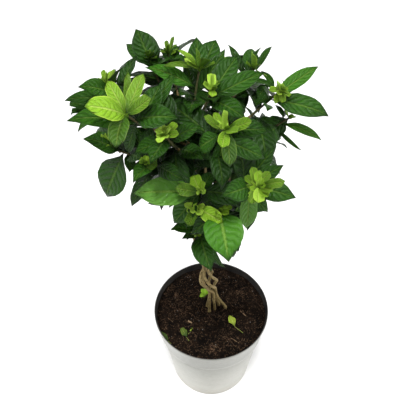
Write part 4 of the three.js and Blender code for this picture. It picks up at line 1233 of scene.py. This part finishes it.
# dark leaves along the branches, wherever one stands clear of the others
def branchLeaves(draw):
    kept = [sample for leaves in leafHomes.values() for leaf in leaves for sample in leafSamples(leaf)]
    leaves = []
    for path in branchLines:
        length, want = 0.0, draw.uniform(inner["first"], inner["step"])
        turn = draw.uniform(0, 360)
        for a, b in zip(path, path[1:]):
            length += (b - a).length
            if length < want:
                continue
            want += inner["step"] * draw.uniform(0.7, 1.3)
            for _ in range(inner["tries"]):
                turn += goldenTurn + draw.uniform(-20, 20)
                leaf = innerLeaf(b, (b - a).normalized(), turn, draw)
                samples = leafSamples(leaf)
                if all(inCrown(p) and all((p - q).length >= inner["clear"] for q in kept) for p in samples):
                    leaves.append(leaf)
                    kept += samples
                    break
    return leaves


def lateLeaf(u, v, tipU, tipV, z, up, wide, tone, draw):
    root = atHeight((u, v), z)
    direction = atHeight((tipU, tipV), z + up) - root
    long, own = direction.length, draw.random()
    direction.normalize()
    face = turned(faceOf(direction, direction.orthogonal() * 0.01, root), direction, draw.uniform(-20, 20))
    return looseLeaf(
        root, direction, face, long=long, wide=wide, arch=0.06, curl=0.05 * own, wave=0.05, own=own,
        tone=tone, thick=0.5)


def budLeaf(shoot, k, count, long, lean, draw):
    axis = shoot["axis"]
    out = turned(axis.orthogonal().normalized(), axis, k * goldenTurn + draw.uniform(-25, 25))
    spread = math.radians(lean[0] + (lean[1] - lean[0]) * (k + 0.5) / count)
    direction = (axis * math.cos(spread) + out * math.sin(spread)).normalized()
    size = long[0] + (long[1] - long[0]) * (k + draw.random()) / count
    own = draw.random()
    return looseLeaf(
        shoot["tip"] + axis * (1.6 - 0.5 * k), direction, faceOf(direction, axis), long=size,
        wide=size * draw.uniform(0.36, 0.5), arch=-0.12, curl=-0.1, fold=0.32, blunt=1.0, own=own,
        tone=0.55 + 0.45 * own, thick=0.45)


# seen leaves that found no clear place in the model
def missedOnes(isYoung, tones):
    missed = [leaf for leaf in missedLeaves if leaf["isYoung"] == isYoung]
    return [dict(leaf, tone=leafTone(leaf, tones[leaf["home"]])) for leaf in missed]


def makeExtras():
    draw = random.Random(inner["seed"])
    leaves = branchLeaves(draw)
    print("inner leaves:", len(leaves))
    leaves += missedOnes(False, oldTones)
    leaves += [lateLeaf(*late, draw) for late in lateLeaves]
    growLeaves("inner_leaves", leaves, "leaf")

    leaves = missedOnes(True, youngTones)
    for shoot in shoots:
        for k, (u, v, long, wide, tone) in enumerate(smallLeaves.get(shoot["name"], [])):
            leaf = seenLeaf(shoot, near(u, v, long, wide, draw.uniform(-25, 25)), k % 5, True, 0)
            # painted light: the listed tone is doubled, lifting these small leaves into the paler tones above
            # one
            leaves.append(dict(leaf, tone=bud["toneBy"] * tone, thick=0.45))
        count, long, lean = bud["seen" if "young_" + shoot["name"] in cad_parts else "bare"]
        leaves += [budLeaf(shoot, k, count, long, lean, draw) for k in range(count)]
    growLeaves("bud_leaves", leaves, "young_leaf", tipDrop=0.3)


makeExtras()
print("inner and bud leaves grown")


# pot: one closed turned wall, white outside and black inside
pot = {
    "height": 159.0, "rim": 85.0, "collarLow": 118.0, "collar": 79.6, "body": 76.8, "foot": 64.5,
    "footWidth": 5.0, "wall": 1.6, "floor": 3.2, "pad": 24.0, "segments": 144,
    "holes": 6, "holeRadius": 4.0, "holeCircle": 42.0, "holeSegments": 20,
    # the plastic's two pale tones, then painted shade for the wall's top under the rim
    "pale": (0.365, 0.362, 0.312), "paler": (0.412, 0.408, 0.355), "filled": (0.212, 0.214, 0.186),
    "dust": (0.34, 0.27, 0.19), "black": (0.008, 0.008, 0.009), "worn": (0.028, 0.024, 0.020),
}


# a closed body turned about the middle; a ring's height may be a function of its place
def turnedMesh(name, profile, segments):
    shape = bmesh.new()
    rings = []
    for r, z in profile:
        ring = []
        for i in range(segments if r else 1):
            turn = 2 * math.pi * i / segments
            x, y = r * math.cos(turn), r * math.sin(turn)
            ring.append(shape.verts.new(Vector((x, y, z(x, y) if callable(z) else z)) * mm))
        rings.append(ring)
    for a, b in zip(rings, rings[1:]):
        for i in range(segments):
            j = (i + 1) % segments
            corners = [a[i % len(a)], b[i % len(b)], b[j % len(b)], a[j % len(a)]]
            shape.faces.new(list(dict.fromkeys(corners)))
    if len(rings[-1]) > 1:
        shape.faces.new(list(reversed(rings[-1])))
    bmesh.ops.recalc_face_normals(shape, faces=shape.faces)
    mesh = bpy.data.meshes.new(name)
    shape.to_mesh(mesh)
    shape.free()
    mesh.polygons.foreach_set("use_smooth", [True] * len(mesh.polygons))
    return mesh


def potMaterial():
    material, tree, shader = newMaterial("whitePlastic")
    where = objectPlace(tree)
    mottle = mottled(put(tree, "ShaderNodeMapping", {0: where, 3: (1.0, 1.0, 2.6)}), 22.0, 1.3)
    colour = blend(mottle["Broad"], pot["pale"], pot["paler"])
    # painted shade under the rim: the wall darkens towards the top; and a little soil dust at the foot
    height = xyz(where)[2]
    colour = blend(ease(height, 0.02, 0.15, 0.0, 0.85), colour, pot["filled"])
    colour = blend(ease(height, 0.002, 0.03, 1.0, 0.0) * mottle["Fine"] * 0.5, colour, pot["dust"])
    feed(shader, {
        "Base Color": colour, "Roughness": mottle["Fine"] * 0.2 + 0.36,
        "Sheen Weight": 0.3, "Sheen Roughness": 0.35,
        "Normal": bumped(mottle["Fine"] * 0.2 + mottle["Broad"], 0.12, 0.001)})
    return material


def potInsideMaterial():
    material, tree, shader = newMaterial("blackPlastic")
    mottle = mottled(objectPlace(tree), 70.0, 1.4)
    feed(shader, {
        "Base Color": blend(mottle["Broad"], pot["black"], pot["worn"]),
        "Roughness": mottle["Fine"] * 0.3 + 0.45,
        "Normal": bumped(mottle["Fine"], 0.2, 0.0006)})
    return material


def potProfile():
    rim, top, collar, low = pot["rim"], pot["height"], pot["collar"], pot["collarLow"]
    body, foot = pot["body"], pot["foot"]
    ring, floor = foot - pot["footWidth"], pot["floor"] + pot["wall"]
    underside = [
        (0, 0), (pot["pad"], 0), (pot["pad"] + 1, 0.3), (pot["pad"] + 3, pot["floor"]), (ring, pot["floor"]),
        (ring + 0.8, 0.4), (ring + 1.6, 0), (foot - 1.6, 0), (foot - 0.5, 0.4)]
    outside = [
        (foot, 1.4), (foot + 0.6, 6), (body - 0.3, low - 4), (body, low - 1.4), (body + 0.5, low - 0.5),
        (collar - 0.5, low), (collar, low + 0.6), (collar + 0.3, low + 4), (rim - 0.9, top - 5.5),
        (rim - 0.4, top - 4.2), (rim, top - 3.4), (rim, top - 0.9), (rim - 0.3, top - 0.2), (rim - 0.7, top)]
    inside = [
        (rim - 1.2, top - 0.2), (rim - 1.6, top - 0.9), (rim - 2.3, top - 4), (collar - 1.6, low + 1),
        (body - 1.6, low - 2), (foot - 1.6, floor + 2), (foot - 3.6, floor), (0, floor)]
    return underside + outside + inside


def drainCutter():
    cutter = bmesh.new()
    radius = pot["holeRadius"] * mm
    for i in range(pot["holes"]):
        turn = 2 * math.pi * i / pot["holes"]
        at = Vector((pot["holeCircle"] * math.cos(turn), pot["holeCircle"] * math.sin(turn), 3)) * mm
        bmesh.ops.create_cone(
            cutter, cap_ends=True, segments=pot["holeSegments"], radius1=radius, radius2=radius,
            depth=12 * mm, matrix=Matrix.Translation(at))
    mesh = bpy.data.meshes.new("cutter")
    cutter.to_mesh(mesh)
    cutter.free()
    return linked("cutter", mesh)


def makePot():
    mesh = turnedMesh("pot_wall", potProfile(), pot["segments"])
    mesh.materials.append(potMaterial())
    mesh.materials.append(potInsideMaterial())
    for face in mesh.polygons:
        at, normal = face.center, face.normal
        floor = normal.z > 0.75 and at.z < 0.02
        wall = normal.x * at.x + normal.y * at.y < 0 and at.z > 0.004
        face.material_index = 1 if floor or wall or at.z > (pot["height"] - 0.5) * mm else 0
    piece = linked("pot_wall", mesh)
    cutter = drainCutter()
    modifier = piece.modifiers.new("Holes", "BOOLEAN")
    modifier.object = cutter
    modifier.operation = "DIFFERENCE"
    applied(piece)
    bpy.data.objects.remove(cutter)
    finished(piece, "pot", "pot")


makePot()
print("pot turned")


# soil: a closed body with a rough top, and what is strewn on it (lengths in mm)
ground = {
    "rings": 90, "segments": 220, "edge": 82.6,
    "rough": 1.5, "roughStep": 7.0, "swell": 1.2, "swellStep": 26.0,
    "edgeFrom": 0.93, "edgeBand": 0.07, "edgeDrop": 1.2, "edgeCalm": 0.6,
    "under": [(77.6, 120), (74.9, 115.6), (62.4, 5.4)], "seed": 11,
}
mixLook = ("pottingMix", (0.0028, 0.0016, 0.0009), (0.011, 0.006, 0.0032), (0.050, 0.030, 0.017))
crumbLook = ("soilCrumbs", (0.0038, 0.0022, 0.0012), (0.018, 0.0098, 0.0054), (0.085, 0.054, 0.032))
gritLook = ("paleGrit", (0.16, 0.15, 0.135), (0.42, 0.40, 0.37), (0.5, 0.48, 0.45))
strewn = {  # look, how many, reach, height over the soil, then the tree's own values
    "soil_crumbs": (crumbLook, 5200, 80.5, 0.2, {"Rough": 1.3, "Smallest": 0.5, "Largest": 1.7, "Seed": 3}),
    "pale_grit": (gritLook, 60, 78, 0.5, {"Rough": 0.5, "Smallest": 0.35, "Largest": 0.8, "Seed": 5}),
}
lumpForms = [(0.6, 1.4), (0.6, 1.4), (0.4, 1.0)]


def groundHeight(x, y):
    at = Vector((x, y, 0))
    rough = noise.fractal(at / ground["roughStep"], 1.0, 2.0, 4) * ground["rough"]
    rough += noise.fractal(at / ground["swellStep"], 1.0, 2.0, 2) * ground["swell"]
    edge = min(1, max(0.0, math.hypot(x, y) / ground["edge"] - ground["edgeFrom"]) / ground["edgeBand"])
    return soilHeight(x, y) + rough * (1 - ground["edgeCalm"] * edge) - ground["edgeDrop"] * edge


def soilMaterial(name, dark, warm, fleck):
    material, tree, shader = newMaterial(name)
    where = objectPlace(tree)
    mottle = mottled(where, 70.0, 1.6)
    cells = put(tree, "ShaderNodeTexVoronoi", {"Vector": where, "Scale": 620.0})
    tint = put(tree, "ShaderNodeSeparateColor", {0: cells["Color"]})
    colour = blend(mottle["Broad"], dark, warm)
    colour = blend(ease(tint, 0.8, 0.97), colour, fleck)
    colour = blend(ease(tint[1], 0.6, 0.9, 0.0, 0.6), colour, (0.004, 0.003, 0.0025))
    feed(shader, {
        "Base Color": colour, "Roughness": tint[2] * 0.25 + 0.72, "Specular IOR Level": 0.08,
        "Normal": bumped(mottle["Fine"] + cells["Distance"] * 1.5, 0.9, 0.0012)})
    return material


# the tree that strews pieces on points: each a small lump, turned and sized by the point's own values
def makeStrewTree():
    tree, given = geometryTree("strewTree", {
        "Detail": "Int", "Rough": "Float", "Smallest": "Float", "Largest": "Float", "Seed": "Int",
        "Material": "Material"})
    lump = put(tree, "GeometryNodeMeshIcoSphere", {"Radius": 1.0, "Subdivisions": given["Detail"]})
    feeds = {"Min": given["Smallest"], "Max": given["Largest"], "Seed": given["Seed"]}
    size = put(tree, "FunctionNodeRandomValue", feeds, data_type="FLOAT")["Value"]
    feeds = {"Min": (0.0, 0.0, 0.0), "Max": (6.28, 6.28, 6.28), "Seed": given["Seed"]}
    turn = put(tree, "FunctionNodeRandomValue", feeds, data_type="FLOAT_VECTOR")["Value"]
    many = put(tree, "GeometryNodeInstanceOnPoints", {
        "Points": given["Geometry"], "Instance": lump, "Rotation": turn,
        "Scale": scaled(named(tree, "lumpForm", "FLOAT_VECTOR"), size)})
    bumps = noisy(put(tree, "GeometryNodeInputPosition"), 900.0, 1.0)
    off = scaled(put(tree, "GeometryNodeInputNormal"), (bumps - 0.5) * given["Rough"])
    return endTree(moved(realized(many), Offset=off), given)


def spotOnSoil(draw, reach):
    r, turn = reach * math.sqrt(draw.random()), draw.uniform(0, 2 * math.pi)
    return r * math.cos(turn), r * math.sin(turn)


def strewPoints(name, count, reach, up, draw):
    mesh = bpy.data.meshes.new(name + "_points")
    spots = [spotOnSoil(draw, reach) for _ in range(count)]
    mesh.from_pydata([Vector((x, y, groundHeight(x, y) + up)) * mm for x, y in spots], [], [])
    for item in mesh.attributes.new("lumpForm", "FLOAT_VECTOR", "POINT").data:
        item.vector = [draw.uniform(*span) for span in lumpForms]
    return mesh


def makeGround():
    top = [(ground["edge"] * k / ground["rings"], groundHeight) for k in range(ground["rings"] + 1)]
    mesh = turnedMesh("soil_body", top + ground["under"], ground["segments"])
    mesh.materials.append(soilMaterial(*mixLook))
    finished(linked("soil_body", mesh), "soil", "soil")
    draw = random.Random(ground["seed"])
    strewTree = makeStrewTree()
    for name, (look, count, reach, up, form) in strewn.items():
        values = {key: size if key == "Seed" else size * mm for key, size in form.items()}
        values.update(Detail=1, Material=soilMaterial(*look))
        finished(grown(name, strewPoints(name, count, reach, up, draw), strewTree, values), "soil")


makeGround()
print("soil laid")


# what lies on the soil: fibres, chips and dropped leaves
litter = {
    "seed": 23, "fibres": 300, "reach": 78,
    "clumps": [((180, 305), 22, 90), ((240, 294), 9, 25), ((211, 348), 7, 45), ((228, 340), 14, 30)],
    "sticks": [  # pixels of both ends, radius, height over the soil
        ((231, 338), (239, 343), 0.45, 0.3), ((240, 311), (246, 316), 1.0, 0.5),
        ((188, 321), (192, 323), 1.3, 0.8), ((189, 333), (193, 327), 0.5, 0.3),
        ((168, 318), (173, 322), 0.5, 0.3), ((205, 322), (210, 320), 0.4, 0.3)],
    "stickTaper": (1, 1.1, 0.95, 1.05, 0.8, 0.5),
    "fallen": [  # stalk end, blade's root, tip, width, tone, wave
        ((243, 333), (235, 327), (229, 315), 9.5, 1.0, 0.22),
        ((189, 341), (187, 338), (181, 327), 8.5, 0.2, 0.5),
        ((171, 344), (169, 342), (161, 331), 5.0, 0.02, 0.3),
        ((188, 334), (189, 333), (193, 327), 1.8, 1.3, 0.1)],
    "fallenUp": 1.0,
}
fibreWood = {"Sides": 4, "Ridges": 0.1, "Ridge size": 1, "Rings": 0.0, "Ring step": 5}
fibreBark = {
    "pale": (0.17, 0.095, 0.05), "warm": (0.075, 0.036, 0.018), "green": (0.20, 0.14, 0.075),
    "dark": (0.03, 0.016, 0.009), "crack": 0.4, "strand": 1500.0}
chipWood = dict(fibreWood, Sides=7, Ridges=0.5)
chipBark = {
    "pale": (0.33, 0.23, 0.13), "warm": (0.16, 0.085, 0.045), "green": (0.21, 0.15, 0.07),
    "dark": (0.05, 0.028, 0.015), "crack": 0.6, "strand": 1300.0}
stalkWood = dict(fibreWood, Sides=8)
stalkGreen = barkMaterial("stalkGreen", {
    "pale": (0.28, 0.34, 0.06), "warm": (0.20, 0.20, 0.05), "green": (0.22, 0.36, 0.05),
    "dark": (0.08, 0.08, 0.02), "crack": 0.3, "strand": 1500.0})


def onSoil(px, up=0.0):
    place = atHeight(px, soil["level"])
    for _ in range(3):
        place = atHeight(px, groundHeight(place.x, place.y) + up)
    return place


def fibreLine(x, y, draw):
    turn, step, radius = draw.uniform(0, 6.28), draw.uniform(1.0, 2.4), draw.uniform(0.12, 0.28)
    line = []
    for _ in range(draw.randint(4, 7)):
        if math.hypot(x, y) > ground["edge"] - 2:
            break
        line.append((Vector((x, y, groundHeight(x, y) + draw.uniform(0.1, 0.7))), radius))
        turn += draw.uniform(-0.7, 0.7)
        x, y = x + step * math.cos(turn), y + step * math.sin(turn)
    return line


def makeFibres():
    draw = random.Random(litter["seed"])
    lines = [fibreLine(*spotOnSoil(draw, litter["reach"]), draw) for _ in range(litter["fibres"])]
    for px, spread, count in litter["clumps"]:
        middle = onSoil(px)
        for _ in range(count):
            x, y = middle.x + draw.gauss(0, spread / 2), middle.y + draw.gauss(0, spread / 2)
            if math.hypot(x, y) < ground["edge"] - 4:
                lines.append(fibreLine(x, y, draw))
    lines = [line for line in lines if len(line) > 2]
    growWood("soil_fibres", lines, fibreWood, barkMaterial("soilFibre", fibreBark), "soil")


def makeChips():
    lines, taper = [], litter["stickTaper"]
    for a, b, radius, up in litter["sticks"]:
        start, end = onSoil(a, up), onSoil(b, up)
        steps = len(taper) - 1
        lines.append([(start.lerp(end, i / steps), radius * share) for i, share in enumerate(taper)])
    growWood("wood_chips", lines, chipWood, barkMaterial("woodChip", chipBark), "soil")


def makeFallen():
    stalks = []
    for number, (*pixels, wide, tone, wave) in enumerate(litter["fallen"], 1):
        start, a, b = (onSoil(px, litter["fallenUp"]) for px in pixels)
        direction = (b - a).normalized()
        face = (zAxis - direction * direction.z).normalized()
        leaf = looseLeaf(
            a, direction, face, long=(b - a).length, wide=wide, fold=0.22, wave=wave, own=0.37 * number,
            tone=tone, thick=0.4)
        nodes = [node for node in ["fallen_leaf_%d" % number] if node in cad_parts]
        growLeaves("fallen_blade_%d" % number, [leaf], "fallen_leaf", *nodes, keel=0.2, tipDrop=0.6)
        bow = (start + a) / 2 + Vector((0.6, -0.4, 0.5))
        stalks.append([(start, 0.35), (bow, 0.4), (a, 0.45), (a.lerp(b, 0.1), 0.3)])
    growWood("fallen_stalks", stalks, stalkWood, stalkGreen, "fallen_leaf")


# a seedling with two leaves
seedling = {
    "x": -11.0, "y": 21.0, "heights": (144.0, 154.0), "top": ((205, 296), 163.0), "radius": 0.8,
    "leaves": [  # tip, its height, width, length, tone
        ((205, 286), 165.0, 12.5, 13.0, 0.85), ((198, 295), 160.0, 6.0, 9.0, 1.0)],
}
seedlingWood = {"Sides": 10, "Ridges": 0.15, "Ridge size": 1, "Rings": 0.1, "Ring step": 4}


def makeSeedling():
    top = atHeight(*seedling["top"])
    route = smoothLine([Vector((seedling["x"], seedling["y"], z)) for z in seedling["heights"]] + [top])
    line = [(route(i / 14), seedling["radius"] * (1 - 0.02 * i)) for i in range(15)]
    growWood("seedling_stalk", [line], seedlingWood, stalkGreen, "sprout")
    leaves = []
    for px, z, wide, long, tone in seedling["leaves"]:
        direction = (atHeight(px, z) - top).normalized()
        leaves.append(looseLeaf(
            top, direction, faceOf(direction, zAxis, top), long=long, wide=wide, wave=0.03, blunt=1.0,
            own=0.3, tone=tone, thick=0.6))
    growLeaves("seedling_leaves", leaves, "sprout", "sprout", keel=0.3, tipDrop=0.5)


makeFibres()
makeChips()
makeFallen()
makeSeedling()
print("litter strewn and seedling grown")
